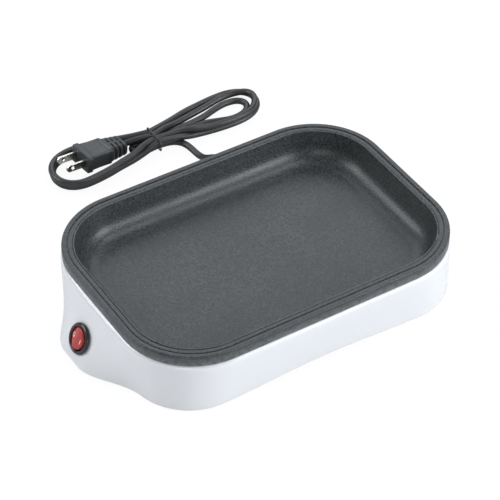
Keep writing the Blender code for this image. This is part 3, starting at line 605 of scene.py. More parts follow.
class Finishes:
    """All finishes of the griddle, one for each material slot of the record."""

    TABLE = (
        Finish("glossy_white_shell", (0.80, 0.805, 0.82), (0.84, 0.845, 0.86), (0.20, 0.27), coat=0.25,
               surface_scale=2600.0, relief=0.00001, relief_strength=0.2, mottle_scale=12.0),
        # The coating's edge strength paints a highlight along the rim's ridges and grooves.
        Finish("non_stick_coating", (0.010, 0.011, 0.0115), (0.070, 0.0755, 0.078), (0.31, 0.45),
               specular=0.5, surface_scale=760.0, relief=0.00014, relief_strength=0.60, mottle_scale=26.0, edge=0.60),
        Finish("zinc_plated_sheet", (0.50, 0.51, 0.52), (0.64, 0.65, 0.66), (0.30, 0.48), metallic=1.0,
               surface=Effect.DRAWN, surface_scale=900.0, relief=0.00001, wear=0.20),
        Finish("black_cover_plastic", (0.022, 0.022, 0.024), (0.034, 0.034, 0.037), (0.38, 0.50),
               surface_scale=2200.0, relief=0.00003, dust=0.08),
        Finish("grey_foot_rubber", (0.13, 0.13, 0.135), (0.19, 0.19, 0.195), (0.66, 0.82),
               surface_scale=1300.0, relief=0.00005, dust=0.15),
        Finish("screw_head_steel", (0.42, 0.42, 0.44), (0.60, 0.60, 0.62), (0.24, 0.40), metallic=1.0,
               surface=Effect.DRAWN, surface_scale=1500.0, relief=0.00001, wear=0.35),
        Finish("black_switch_plastic", (0.012, 0.012, 0.013), (0.020, 0.020, 0.022), (0.22, 0.32), coat=0.2,
               surface_scale=2800.0, relief=0.00001),
        # The rocker's glow is painted light: its lamp is unlit while the plug lies loose.
        Finish("red_rocker_lens", (0.36, 0.010, 0.007), (0.50, 0.022, 0.012), (0.16, 0.26), coat=0.3,
               surface_scale=2600.0, relief=0.000006, mottle_scale=160.0, painted_glow=0.03),
        Finish("lamp_glass", (0.95, 0.50, 0.28), (0.95, 0.60, 0.38), (0.04, 0.10), transmission=0.6,
               surface_scale=2600.0, relief=0.000004),
        Finish("terminal_brass", (0.70, 0.55, 0.28), (0.82, 0.68, 0.40), (0.22, 0.38), metallic=1.0,
               surface=Effect.DRAWN, surface_scale=1600.0, relief=0.00001, wear=0.25),
        Finish("element_sheath", (0.20, 0.185, 0.175), (0.36, 0.33, 0.30), (0.38, 0.60), metallic=1.0,
               surface_scale=700.0, relief=0.00004, mottle_scale=70.0, wear=0.35),
        Finish("bushing_ceramic", (0.80, 0.77, 0.70), (0.88, 0.86, 0.80), (0.38, 0.56),
               surface_scale=1500.0, relief=0.00003, dust=0.10),
        Finish("bright_tray_aluminium", (0.40, 0.405, 0.41), (0.52, 0.525, 0.53), (0.34, 0.48), metallic=1.0,
               surface=Effect.DRAWN, surface_scale=700.0, relief=0.000015, wear=0.25),
        Finish("black_phenolic", (0.028, 0.026, 0.025), (0.050, 0.046, 0.044), (0.36, 0.52),
               surface_scale=1100.0, relief=0.00003, dust=0.12),
        Finish("black_wire_sleeve", (0.020, 0.020, 0.022), (0.034, 0.034, 0.036), (0.36, 0.48),
               surface_scale=1800.0, relief=0.00002),
        Finish("white_wire_sleeve", (0.72, 0.72, 0.70), (0.82, 0.82, 0.80), (0.36, 0.48),
               surface_scale=1800.0, relief=0.00002),
        Finish("crimp_cap_nylon", (0.80, 0.79, 0.74), (0.88, 0.87, 0.83), (0.30, 0.42), subsurface=0.15,
               surface_scale=1500.0, relief=0.00002),
        Finish("cord_sheath", (0.014, 0.015, 0.016), (0.025, 0.026, 0.028), (0.34, 0.46), specular=0.6,
               surface_scale=1400.0, relief=0.00004, mottle_scale=60.0, wear=0.05),
        Finish("coated_tie_wire", (0.030, 0.030, 0.033), (0.055, 0.055, 0.060), (0.26, 0.40),
               surface_scale=2200.0, relief=0.00002),
        Finish("plug_vinyl", (0.026, 0.028, 0.030), (0.044, 0.047, 0.050), (0.36, 0.48), specular=0.6,
               surface_scale=1700.0, relief=0.00005, mottle_scale=80.0, dust=0.05),
        Finish("nickel_plated_blade", (0.52, 0.50, 0.45), (0.66, 0.64, 0.58), (0.20, 0.34), metallic=1.0,
               surface=Effect.DRAWN, surface_scale=1800.0, relief=0.00001, wear=0.25),
        Finish("printed_mark", (0.86, 0.85, 0.84), (0.92, 0.91, 0.90), (0.32, 0.42),
               surface_scale=2600.0, relief=0.000005),
    )
    SLOTS = ("white_plastic", "pan_coating", "base_steel", "pod_cover_plastic", "foot_rubber", "screw_steel",
             "switch_black", "rocker_red", "lamp_glass", "terminal_brass", "element_sheath", "ceramic",
             "tray_aluminium", "thermostat_black", "wire_black", "wire_white", "cap_nylon", "cord_rubber",
             "tie_wire", "plug_rubber", "blade_metal", "mark_white")

    def __init__(self) -> None:
        """Build every material."""
        effects = EffectLibrary()
        self._made = {slot: finish.build(effects) for slot, finish in zip(self.SLOTS, self.TABLE)}

    def __getitem__(self, slot: str) -> Material:
        """Return the material of a slot."""
        return self._made[slot]

    def dress(self, node: str, slot: str) -> None:
        """Give a CAD node that stays the finish of a slot.

        Args:
            node: The node's name.
            slot: The slot whose finish it gets.
        """
        piece = bpy.data.objects[node]
        for place in piece.material_slots:
            place.material = self._made[slot]
        if not piece.material_slots:
            piece.data.materials.append(self._made[slot])
        LOG.info("%s keeps its shape with finish %s", node, self._made[slot].name)


# ---------------------------------------------------------------- camera, floor and light
@dataclass(frozen=True)
class Studio:
    """Camera, pale floor and soft light round the griddle."""

    camera_place: tuple = (-0.62524, -1.01051, 1.09452)
    across: tuple = (0.84861, -0.52903, 0.0)
    upward: tuple = (0.35110, 0.56319, 0.74804)
    backward: tuple = (-0.39574, -0.63479, 0.66366)
    lens: float = 161.5
    sensor: float = 36.0
    floor_half: float = 4.0

    def camera(self) -> None:
        """Place the camera and make it the scene's own."""
        data = bpy.data.cameras.new("studio_camera")
        data.lens = self.lens
        data.sensor_width = self.sensor
        data.clip_end = 20.0
        camera = bpy.data.objects.new("studio_camera", data)
        bpy.context.scene.collection.objects.link(camera)
        turn = Matrix((self.across, self.upward, self.backward)).transposed().to_4x4()
        camera.matrix_world = Matrix.Translation(self.camera_place) @ turn
        bpy.context.scene.camera = camera

    def floor(self) -> None:
        """Lay a plain white floor just under the feet, clear when seen from below."""
        mesh = bmesh.new()
        bmesh.ops.create_grid(mesh, x_segments=2, y_segments=2, size=self.floor_half)
        bmesh.ops.translate(mesh, vec=(0.0, 0.0, -0.0002), verts=mesh.verts)
        material = bpy.data.materials.new("white_floor")
        material.use_nodes = True
        tree = material.node_tree
        shader = tree.nodes["Principled BSDF"]
        shader.inputs["Base Color"].default_value = (0.70, 0.70, 0.71, 1.0)
        shader.inputs["Roughness"].default_value = 0.9
        shader.inputs["Specular IOR Level"].default_value = 0.1
        lit = tree.nodes.new("ShaderNodeEmission")
        lit.inputs["Strength"].default_value = 1.06
        ray = tree.nodes.new("ShaderNodeLightPath")
        share = tree.nodes.new("ShaderNodeMapRange")
        share.inputs["To Min"].default_value = 0.12
        share.inputs["To Max"].default_value = 0.88
        blend = tree.nodes.new("ShaderNodeMixShader")
        tree.links.new(ray.outputs["Is Camera Ray"], share.inputs["Value"])
        tree.links.new(share.outputs["Result"], blend.inputs[0])
        tree.links.new(shader.outputs[0], blend.inputs[1])
        tree.links.new(lit.outputs[0], blend.inputs[2])
        shape = tree.nodes.new("ShaderNodeNewGeometry")
        clear = tree.nodes.new("ShaderNodeBsdfTransparent")
        # The grid faces down, so the side that is seen from above is its back.
        one_sided = tree.nodes.new("ShaderNodeMixShader")
        tree.links.new(shape.outputs["Backfacing"], one_sided.inputs[0])
        tree.links.new(clear.outputs[0], one_sided.inputs[1])
        tree.links.new(blend.outputs[0], one_sided.inputs[2])
        tree.links.new(one_sided.outputs[0], tree.nodes["Material Output"].inputs["Surface"])
        publish("studio_floor", mesh, material)

    def sky(self) -> None:
        """Give the room an even pale light that looks white to the camera."""
        world = bpy.data.worlds.new("white_room")
        world.use_nodes = True
        tree = world.node_tree
        light = tree.nodes["Background"]
        light.inputs["Color"].default_value = (0.93, 0.965, 1.0, 1.0)
        light.inputs["Strength"].default_value = 0.31
        seen = tree.nodes.new("ShaderNodeBackground")
        seen.inputs["Color"].default_value = (1.0, 1.0, 1.0, 1.0)
        seen.inputs["Strength"].default_value = 1.0
        ray = tree.nodes.new("ShaderNodeLightPath")
        choose = tree.nodes.new("ShaderNodeMixShader")
        tree.links.new(ray.outputs["Is Camera Ray"], choose.inputs[0])
        tree.links.new(light.outputs[0], choose.inputs[1])
        tree.links.new(seen.outputs[0], choose.inputs[2])
        tree.links.new(choose.outputs[0], tree.nodes["World Output"].inputs["Surface"])
        bpy.context.scene.world = world

    @staticmethod
    def softbox(name: str, place: Point, size: tuple, power: float) -> None:
        """Hang one rectangular softbox that faces the griddle.

        Args:
            name: The light's name.
            place: Its middle.
            size: Its width and height.
            power: Its power in watts.
        """
        data = bpy.data.lights.new(name, "AREA")
        data.shape = "RECTANGLE"
        data.size, data.size_y = size
        data.energy = power
        data.color = (0.93, 0.965, 1.0)
        lamp = bpy.data.objects.new(name, data)
        bpy.context.scene.collection.objects.link(lamp)
        lamp.location = place
        lamp.rotation_euler = (Vector((0.0, 0.0, 0.02)) - Vector(place)).to_track_quat("-Z", "Y").to_euler()

    def build(self) -> None:
        """Set up the whole studio."""
        self.camera()
        self.floor()
        self.sky()
        self.softbox("softbox_left", (-1.35, 1.1, 1.15), (1.0, 0.8), 19.0)
        self.softbox("softbox_rear", (0.9, 1.45, 1.4), (2.4, 1.4), 18.0)
        self.softbox("softbox_top", (0.8, -0.45, 1.75), (0.8, 0.5), 8.0)
        self.softbox("softbox_front", (1.1, -1.4, 0.75), (1.0, 0.8), 24.0)
        self.softbox("softbox_fill", (-1.2, -1.3, 0.8), (0.8, 0.8), 5.0)
        scene = bpy.context.scene
        scene.view_settings.view_transform = "Standard"
        scene.view_settings.look = "None"
        LOG.info("studio ready")


# ---------------------------------------------------------------- cord, tie and plug
@dataclass
class MainsCord:
    """The mains cord: out of the rear wall, folded into a tied hank, and ending in the plug."""

    finishes: Finishes
    diameter: float = 5.2 * MM
    exit_place: tuple = (0.055, 0.0920, 0.0135)
    tie_place: tuple = (0.0290, 0.1792, 0.0064)
    tie_half: tuple = (0.0100, 0.0058, 0.0026)
    tie_radius: float = 0.00055
    nearest: float = 0.93
    settle_rounds: int = 34
    settle_along: int = 14
    settle_ends: int = 4
    settle_evening: float = 0.2
    settle_push: float = 0.6
    floor_gap: float = 0.0001
    rear_limit: float = 0.20465

    # From the strain relief's tip along the floor to the front of the tie, in millimetres.
    LEAD = (
        (55.0, 120.3, 13.5), (54.9, 125.5, 13.0), (54.2, 130.6, 11.2), (52.6, 134.9, 8.3),
        (51.6, 139.3, 5.4), (50.8, 144.8, 3.3), (50.2, 151.3, 2.7), (49.7, 160.4, 2.7), (47.9, 167.5, 2.7),
        (42.5, 172.8, 2.7), (35.5, 174.5, 2.9), (28.5, 174.4, 3.6),
    )
    # A small turn on the floor left of the tie, under the lead to the plug.
    TURN_BACK = (
        (22.5, 173.9, 3.2), (17.0, 174.0, 2.7), (12.1, 175.6, 2.7), (9.7, 179.2, 2.7), (10.4, 183.0, 2.7),
        (13.9, 185.0, 2.8), (18.3, 184.0, 3.1), (22.5, 181.4, 3.5),
    )
    RIGHT_INNER = (
        (28.5, 179.0, 3.9), (40.5, 178.8, 3.1), (54.5, 179.4, 2.7), (66.5, 180.0, 2.7), (75.5, 179.4, 2.7),
        (85.5, 176.3, 2.7), (95.5, 173.2, 2.7), (104.5, 173.6, 2.7), (111.3, 176.6, 2.7),
        (115.3, 181.8, 2.7), (114.9, 187.8, 2.7), (109.9, 191.6, 2.7), (100.5, 192.6, 2.7),
        (89.5, 190.4, 2.7), (79.5, 187.3, 2.7), (67.5, 185.4, 2.7), (54.5, 184.7, 2.8), (41.5, 184.2, 3.2),
        (28.5, 184.4, 3.9),
    )
    LEFT_LOWER = (
        (18.5, 187.5, 3.2), (6.5, 192.0, 2.7), (-9.5, 197.0, 2.7), (-23.5, 199.6, 2.7), (-35.5, 200.0, 2.7),
        (-46.5, 197.4, 2.7), (-53.5, 191.6, 2.7), (-56.7, 183.5, 2.7), (-56.7, 175.5, 2.7),
        (-53.9, 169.4, 2.7), (-49.3, 165.4, 2.7), (-43.7, 163.4, 2.7), (-37.5, 162.9, 2.7),
        (-29.5, 163.4, 2.7), (-18.8, 164.9, 2.7), (-6.2, 167.6, 2.7), (6.0, 169.2, 3.4), (17.5, 171.0, 6.0),
    )
    RIGHT_OUTER = (
        (28.5, 172.2, 8.6), (36.5, 171.6, 8.5), (44.5, 171.0, 8.0), (52.5, 170.6, 7.2), (60.5, 170.0, 5.2),
        (70.5, 169.2, 3.2), (84.5, 168.0, 2.7), (98.5, 167.6, 2.7), (111.1, 169.8, 2.7), (120.1, 175.6, 2.7),
        (124.9, 183.6, 2.7), (125.1, 192.0, 2.7), (120.1, 198.8, 2.7), (110.5, 203.0, 2.7),
        (98.5, 203.6, 2.7), (84.5, 202.4, 2.7), (68.5, 199.8, 3.2), (53.5, 195.2, 4.2), (40.5, 190.6, 6.2),
        (28.5, 186.0, 8.6),
    )
    LEFT_UPPER = (
        (18.5, 188.2, 8.3), (6.5, 192.0, 7.9), (-9.5, 196.6, 7.7), (-23.5, 199.6, 7.6), (-35.0, 200.2, 7.6),
        (-46.0, 197.5, 7.6), (-54.1, 191.2, 7.6), (-57.9, 183.3, 7.6), (-58.1, 175.0, 7.6),
        (-55.1, 168.0, 7.6), (-50.1, 163.6, 7.6), (-44.1, 161.4, 7.6), (-37.5, 161.3, 7.6),
        (-29.0, 162.2, 7.6), (-18.5, 163.8, 7.7), (-6.0, 166.8, 7.9), (6.0, 169.6, 8.2), (17.0, 173.6, 8.6),
    )
    RIGHT_MIDDLE = (
        (28.5, 176.8, 8.6), (40.5, 174.8, 8.5), (54.5, 171.8, 8.2), (68.5, 169.4, 7.9), (84.5, 167.2, 7.6),
        (98.5, 167.0, 7.5), (110.1, 169.4, 7.5), (118.3, 175.4, 7.5), (122.7, 183.4, 7.4),
        (122.5, 190.6, 7.0), (116.5, 196.0, 5.8), (107.5, 198.4, 4.8), (97.5, 198.4, 4.2),
        (84.5, 195.8, 3.8), (68.5, 193.0, 3.7), (53.5, 189.4, 4.6), (40.5, 185.6, 6.8), (28.5, 181.4, 8.6),
    )
    PLUG_LEAD = ((23.0, 182.8, 8.6), (16.0, 184.2, 8.2), (10.0, 185.8, 7.2), (5.0, 186.8, 6.2))

    def route(self) -> list[Vector]:
        """Return the whole centre line, evenly spaced, from the strain relief to the plug."""
        parts = (self.LEAD, self.TURN_BACK, self.RIGHT_INNER, self.LEFT_LOWER, self.RIGHT_OUTER,
                 self.LEFT_UPPER, self.RIGHT_MIDDLE, self.PLUG_LEAD)
        points = [Vector(point) * MM for part in parts for point in part]
        return self.settle(smooth_route(points, self.diameter / 5))

    def settle(self, line: list[Vector]) -> list[Vector]:
        """Push touching turns apart and keep them on the floor and inside the griddle's outline.

        Args:
            line: The centre line as it was laid.

        Returns:
            The same line with no turn lying in another.
        """
        apart = self.nearest * self.diameter
        for _ in range(self.settle_rounds):
            tree = KDTree(len(line))
            for number, point in enumerate(line):
                tree.insert(point, number)
            tree.balance()
            pushes = [self._push(tree, number, point, apart) for number, point in enumerate(line)]
            moved = list(line)
            ends = self.settle_ends
            for number in range(ends, len(line) - ends):
                push = sum(pushes[number - ends:number + ends + 1], Vector()) / (2 * ends + 1)
                evened = (line[number - 1] + line[number + 1]) / 2
                place = line[number].lerp(evened, self.settle_evening) + push
                place.z = max(place.z, self.diameter / 2 + self.floor_gap)
                place.y = min(place.y, self.rear_limit)
                moved[number] = place
            line = moved
        return line

    def _push(self, tree: KDTree, number: int, point: Vector, apart: float) -> Vector:
        """Return the share of the step that frees a point from the nearest other turn."""
        for other, index, distance in sorted(tree.find_range(point, apart), key=lambda found: found[2]):
            if abs(index - number) > self.settle_along:
                return (point - other).normalized() * (apart - distance) * self.settle_push
        return Vector()

    def build_cord(self) -> Piece:
        """Returns:
            The cord.
        """
        line = self.route()
        cord = rod("mains_lead", line, self.diameter / 2, self.finishes["cord_rubber"], sides=6)
        add_piece(cord, Body.BASE, "cord_rubber", "power_cord", "cord_hank")
        return cord

    def build_tie(self) -> Piece:
        """Make the wire tie: one turn round the bundle with its two ends twisted together.

        Returns:
            The tie.
        """
        x, y, z = self.tie_place
        half_y, half_z, corner = self.tie_half
        outline = rounded_rectangle(half_y, half_z, corner, 6, (6, 3))
        start = len(outline) * 9 // 20
        turn = outline[start:] + outline[:start]
        slant, swing, reach = 0.0007, 0.0007, 0.0022
        twist_steps, twist_turns = 24, 2.5
        loop = []
        for k, (v, w) in enumerate(turn):
            loop.append(Vector((x + slant * math.sin(6.0 * k / len(turn)), y + v, z + w)))
        knot = loop[0]
        twist = []
        for k in range(twist_steps + 1):
            angle = math.tau * twist_turns * k / twist_steps
            out = reach * k / twist_steps
            side, rise = swing * math.cos(angle), swing * math.sin(angle)
            twist.append(knot + Vector((side, -0.8 * out, rise - 0.2 * out)))
        points = smooth_route(loop + twist, 0.0006)
        tie = rod("tie_wire_loop", points, self.tie_radius, self.finishes["tie_wire"], sides=4)
        return add_piece(tie, Body.BASE, "tie_wire", "cord_tie")

    def build_bushing(self) -> Piece:
        """Make the ribbed strain relief where the cord leaves the rear wall.

        Returns:
            The strain relief.
        """
        profile = [(0.0, -0.0060), (0.0050, -0.0060), (0.0050, 0.0012), (0.0059, 0.0012), (0.0062, 0.0016)]
        profile += [(0.0062, 0.0026), (0.0058, 0.0030), (0.0046, 0.0036)]
        ribs = 5
        pitch = 0.0040
        for rib in range(ribs):
            low = 0.0052 + rib * pitch
            wide = 0.0047 - rib * 0.00028
            profile += [(wide - 0.0010, low - 0.0010), (wide - 0.0010, low), (wide - 0.0003, low + 0.0002)]
            profile += [(wide, low + 0.0006), (wide - 0.0001, low + 0.0018), (wide - 0.0005, low + 0.0022)]
        profile += [(0.0030, 0.0262), (0.0029, 0.0276), (0.0, 0.0276)]
        bushing = publish("lead_bushing", turned(profile, 48), self.finishes["cord_rubber"], 50.0)
        rearward = Matrix.Rotation(math.radians(-90), 4, "X")
        bushing.data.transform(Matrix.Translation(self.exit_place) @ rearward)
        return add_piece(bushing, Body.BASE, "cord_rubber", "cord_strain_relief")


@dataclass
class Plug:
    """The moulded two-blade plug, lying on the hank's left lobe."""

    finishes: Finishes
    centre: tuple = (-0.0226, 0.1832, 0.0104)
    turn: float = 186.5
    rise: float = 8.0
    size: tuple = (0.0236, 0.0234, 0.0149)
    plate: float = 0.0045
    blade: tuple = (0.0170, 0.0015, 0.0063)
    blade_spacing: float = 0.0127
    rib_count: int = 4
    rib_pitch: float = 0.0042

    def place(self) -> Matrix:
        """Return the plug's frame: X towards the blades, Z up."""
        turn = Matrix.Rotation(math.radians(self.turn), 4, "Z")
        return Matrix.Translation(self.centre) @ turn @ Matrix.Rotation(math.radians(-self.rise), 4, "Y")

    @staticmethod
    def section(x: float, half_y: float, half_z: float, corner: float, slot: float = 0.0) -> list[Point]:
        """One cross-section of the moulding.

        Args:
            x: Its place along the plug.
            half_y: Half its width.
            half_z: Half its height.
            corner: Corner radius.
            slot: How deep the two side slots are cut here; a bridge stays at the top and the bottom.

        Returns:
            Its outline.
        """
        bridge = 0.0013
        ring = []
        for y, z in rounded_rectangle(half_y, half_z, corner, 8, (10, 10)):
            if slot > 0.0 and abs(y) > bridge:
                reach = math.hypot(y, z)
                shrink = max(0.0, reach - slot) / reach
                y, z = y * shrink, z * shrink
            ring.append((x, y, z))
        return ring

    def build_moulding(self) -> Piece:
        """Make the plug's body: front plate, flat-topped grip, bead and slotted cord guard.

        Returns:
            The moulding.
        """
        length, width, height = self.size
        nose = length / 2
        half_y, half_z = width / 2, height / 2
        back = nose - self.plate
        rings = [self.section(nose, half_y - 0.0007, half_z - 0.0007, 0.0016)]
        rings += [self.section(nose - 0.0003, half_y - 0.0002, half_z - 0.0002, 0.0020)]
        rings += [self.section(nose - 0.0008, half_y, half_z, 0.0022)]
        rings += [self.section(back + 0.0006, half_y, half_z, 0.0022)]
        rings += [self.section(back + 0.0001, half_y - 0.0004, half_z - 0.0002, 0.0020)]
        rings += [self.section(back - 0.0002, half_y - 0.0012, half_z - 0.0006, 0.0016)]
        grip_steps = 12
        for step in range(grip_steps + 1):
            t = step / grip_steps
            waist = 0.0003 * math.sin(math.pi * t)
            x = back - 0.0006 - t * (length - self.plate - 0.0040)
            grip_y, grip_z = half_y - 0.0013 - 0.0003 * t - waist, half_z - 0.0007 - 0.0002 * t
            rings.append(self.section(x, grip_y, grip_z, 0.0017))
        bead = ((0.0031, 0.0004), (0.0027, 0.0), (0.0023, 0.0), (0.0020, 0.0004), (0.0017, 0.0004),
                (0.0014, 0.0), (0.0008, 0.0), (0.0003, 0.0006))
        for offset, dip in bead:
            rings.append(self.section(-nose + offset, half_y - 0.0015 - dip, half_z - 0.0007 - dip, 0.0022))
        rings += self.guard_rings(-nose, half_y, half_z)
        moulding = publish("plug_moulding", skin(rings), self.finishes["plug_rubber"], 38.0)
        moulding.data.transform(self.place())
        return add_piece(moulding, Body.BASE, "plug_rubber", "plug_body")

    def guard_rings(self, start: float, half_y: float, half_z: float) -> list:
        """Sections of the slotted cord guard.

        Args:
            start: Where the guard leaves the grip.
            half_y: Half the plug's width.
            half_z: Half the plug's height.

        Returns:
            The sections, from the grip to the tip.
        """
        rings = []
        for rib in range(self.rib_count):
            wide = 0.84 - 0.040 * rib
            tall = 0.90 - 0.055 * rib
            near = start - rib * self.rib_pitch
            rib_y, rib_z = half_y * wide, half_z * tall
            corner = min(rib_y, rib_z) * 0.60
            rings += [self.section(near + 0.0002, rib_y - 0.0003, rib_z - 0.0003, corner)]
            rings += [self.section(near - 0.0002, rib_y, rib_z, corner)]
            rings += [self.section(near - 0.0022, rib_y - 0.0003, rib_z - 0.0003, corner)]
            rings += [self.section(near - 0.0026, rib_y - 0.0006, rib_z - 0.0006, corner)]
            if rib < self.rib_count - 1:
                for along in (0.0027, 0.0037):
                    rings += [self.section(near - along, rib_y - 0.0007, rib_z - 0.0007, corner, 0.0017)]
        tip = start - self.rib_count * self.rib_pitch
        rings += [self.section(tip, 0.0034, 0.0033, 0.0032)]
        rings += [self.section(tip - 0.0012, 0.0031, 0.0030, 0.0029)]
        return rings

    def build_blade(self, name: str, side: int, node: str) -> Piece:
        """Make one blade with its chamfered tip and its round hole.

        Args:
            name: The piece's name.
            side: -1 or 1, the side of the plug.
            node: The CAD node that it stands for.

        Returns:
            The blade.
        """
        length, thickness, width = self.blade
        hole_centre, hole_radius = 0.0118, 0.0016
        arc = 32
        angles = [math.tau * k / arc for k in range(arc)]
        hole = [(hole_centre + hole_radius * math.cos(a), hole_radius * math.sin(a)) for a in angles]
        tip_corner = 0.0019
        edge = [(-0.0004, -width / 2), (length - tip_corner, -width / 2), (length - 0.0004, -width * 0.24)]
        edge += [(length, -width * 0.12), (length, width * 0.12), (length - 0.0004, width * 0.24)]
        edge += [(length - tip_corner, width / 2), (-0.0004, width / 2)]
        mesh = bmesh.new()
        sides = []
        for face_side in (-1, 1):
            outer = [mesh.verts.new((x, face_side * thickness / 2, z)) for x, z in edge]
            inner = [mesh.verts.new((x, face_side * thickness / 2, z)) for x, z in hole]
            edges = [mesh.edges.new((ring[k], ring[(k + 1) % len(ring)])) for ring in (outer, inner)
                     for k in range(len(ring))]
            bmesh.ops.triangle_fill(mesh, use_beauty=True, use_dissolve=False, edges=edges)
            sides.append((outer, inner))
        for ring in (0, 1):
            first, second = sides[0][ring], sides[1][ring]
            for k in range(len(first)):
                n = (k + 1) % len(first)
                mesh.faces.new((first[k], first[n], second[n], second[k]))
        blade = publish(name, mesh, self.finishes["blade_metal"], 30.0)
        shift = Matrix.Translation((self.size[0] / 2, side * self.blade_spacing / 2, 0.0))
        blade.data.transform(self.place() @ shift)
        soften(blade, 0.00018, 2)
        return add_piece(blade, Body.BASE, "blade_metal", node)

    def build(self) -> None:
        """Build the moulding and both blades."""
        self.build_moulding()
        self.build_blade("plug_blade_rear", -1, "plug_blade_1")
        self.build_blade("plug_blade_front", 1, "plug_blade_2")


# ---------------------------------------------------------------- housing
@dataclass
class Housing:
    """The white base: a drafted shell with a soft shoulder and the switch pod on its left end."""

    finishes: Finishes
    base: tuple = (0.1272, 0.0896, 0.045)
    top: tuple = (0.1300, 0.0930, 0.0557)
    low: float = 0.0015
    shoulder: float = 0.0387
    shoulder_radius: float = 0.0040
    wall: float = 0.0025
    arch: float = 0.0035
    arch_reach: float = 0.085
    collar_inset: float = 0.0065
    collar_depth: float = 0.0055
    pod_y: float = 0.004
    pod_depth: float = 0.0228
    pod_plateau: float = 0.010
    pod_spread: float = 0.058
    pod_height: float = 0.046
    pod_fade: float = 1.45
    foot_radius: float = 0.0070
    foot_place: tuple = (0.092, 0.062)
    boss_place: tuple = (0.106, 0.0665)
    plate_z: float = 0.0062

    def pod_reach(self, y: float, z: float) -> float:
        """Return how far the pod pushes the end wall out at a place."""
        off = abs(y - self.pod_y)
        t = min(1.0, max(0.0, (self.pod_spread - off) / (self.pod_spread - self.pod_plateau)))
        flank = t * t * (3 - 2 * t)
        height = max(0.0, 1.0 - (z - self.low) / (self.pod_height - self.low))
        return self.pod_depth * flank * height ** self.pod_fade

    def ring(self, z: float, inset: float) -> list[Point]:
        """Outline of the shell at a height.

        Args:
            z: The height.
            inset: How far it is moved inwards.

        Returns:
            The points, with the pod and the arched lower edge.
        """
        rise = min(1.0, max(0.0, (z - self.low) / (self.shoulder - self.low)))
        half_x, half_y, radius = (a + (b - a) * rise - inset for a, b in zip(self.base, self.top))
        points = []
        for x, y in rounded_rectangle(half_x, half_y, radius, 24, (36, 44)):
            lift = 0.0
            if abs(x) < self.arch_reach:
                lift = self.arch * math.cos(0.5 * math.pi * x / self.arch_reach) ** 2 * (1.0 - rise)
            if x < 0.0:
                x -= self.pod_reach(y, z) * min(1.0, -x / (0.6 * half_x)) ** 4
            points.append((x + BODY_CENTRE_X, y, z + lift))
        return points

    def build_shell(self, switch_place: Matrix, cord_exit: Point) -> Piece:
        """Make the outer shell with its collar, its switch hole and its cord hole.

        Args:
            switch_place: The switch's frame.
            cord_exit: Where the cord leaves the rear wall.

        Returns:
            The shell.
        """
        steps = 22
        heights = [self.low + (self.shoulder - self.low) * k / steps for k in range(steps + 1)]
        rings = [self.ring(self.low, 0.0005), self.ring(self.low + 0.0002, 0.0001)]
        rings += [self.ring(z, 0.0) for z in heights[1:]]
        arc = 8
        for step in range(1, arc + 1):
            angle = math.radians(90.0 * step / arc)
            inset = self.shoulder_radius * (1 - math.cos(angle))
            rings.append(self.ring(self.shoulder + self.shoulder_radius * math.sin(angle), inset))
        top = self.shoulder + self.shoulder_radius
        rings.append(self.ring(top, self.collar_inset - 0.0006))
        rings.append(self.ring(top - 0.0006, self.collar_inset))
        rings.append(self.ring(top - self.collar_depth, self.collar_inset))
        rings.append(self.ring(top - self.collar_depth, self.wall))
        rings += [self.ring(z, self.wall) for z in reversed(heights[:-3])]
        shell = publish("white_housing", skin(rings, closed=True), self.finishes["white_plastic"], 50.0)
        hole = turned([(0.0, -0.02), (0.0098, -0.02), (0.0098, 0.01), (0.0, 0.01)], 48)
        cut(shell, hole, switch_place)
        lead_hole = turned([(0.0, -0.02), (0.0054, -0.02), (0.0054, 0.02), (0.0, 0.02)], 32)
        cut(shell, lead_hole, Matrix.Translation(cord_exit) @ Matrix.Rotation(math.radians(90), 4, "X"))
        return add_piece(shell, Body.BASE, "white_plastic", "body_shell")

    def build_feet(self) -> None:
        """Make the four rubber feet with a dished sole."""
        top = self.plate_z - 0.0003
        radius = self.foot_radius
        profile = [(0.0, 0.0009), (radius - 0.0030, 0.0009), (radius - 0.0026, 0.0), (radius - 0.0012, 0.0)]
        profile += [(radius - 0.0006, 0.0003), (radius, 0.0012), (radius + 0.0002, 0.0030)]
        profile += [(radius + 0.0004, top), (0.0, top)]
        for side, sx in (("left", -1), ("right", 1)):
            for end, sy in (("front", -1), ("rear", 1)):
                name = f"rubber_foot_{end}_{side}"
                foot = publish(name, turned(profile, 48), self.finishes["foot_rubber"], 50.0)
                place = (BODY_CENTRE_X + sx * self.foot_place[0], sy * self.foot_place[1], 0.0)
                foot.data.transform(Matrix.Translation(place))
                add_piece(foot, Body.BASE, "foot_rubber", f"foot_{end}_{side}")

    def build_screws(self) -> None:
        """Make the four base screws with a cross recess in each head."""
        profile = [(0.0, -0.0019), (0.0014, -0.0018), (0.0024, -0.0015), (0.0030, -0.0009), (0.0032, -0.0003)]
        profile += [(0.0032, 0.0), (0.0013, 0.0), (0.0013, 0.0100), (0.0, 0.0112)]
        for side, sx in (("left", -1), ("right", 1)):
            for end, sy in (("front", -1), ("rear", 1)):
                name = f"cross_screw_{end}_{side}"
                screw = publish(name, turned(profile, 32), self.finishes["screw_steel"], 40.0)
                for turn in (0.0, 90.0):
                    slot = bmesh.new()
                    bmesh.ops.create_cube(slot, size=1.0)
                    bmesh.ops.scale(slot, vec=(0.0034, 0.0007, 0.0024), verts=slot.verts)
                    turned_slot = Matrix.Rotation(math.radians(turn), 4, "Z")
                    cut(screw, slot, Matrix.Translation((0.0, 0.0, -0.0021)) @ turned_slot)
                boss_x, boss_y = self.boss_place
                place = (BODY_CENTRE_X + sx * boss_x, sy * boss_y, self.plate_z - 0.0003)
                screw.data.transform(Matrix.Translation(place))
                add_piece(screw, Body.BASE, "screw_steel", f"base_screw_{end}_{side}")

    def dress_underside(self) -> None:
        """Finish the base plate, the pod cover and the cord clamp, which keep their CAD shapes."""
        self.finishes.dress("base_plate", "base_steel")
        self.finishes.dress("pod_cover", "pod_cover_plastic")
        self.finishes.dress("cord_clamp", "screw_steel")


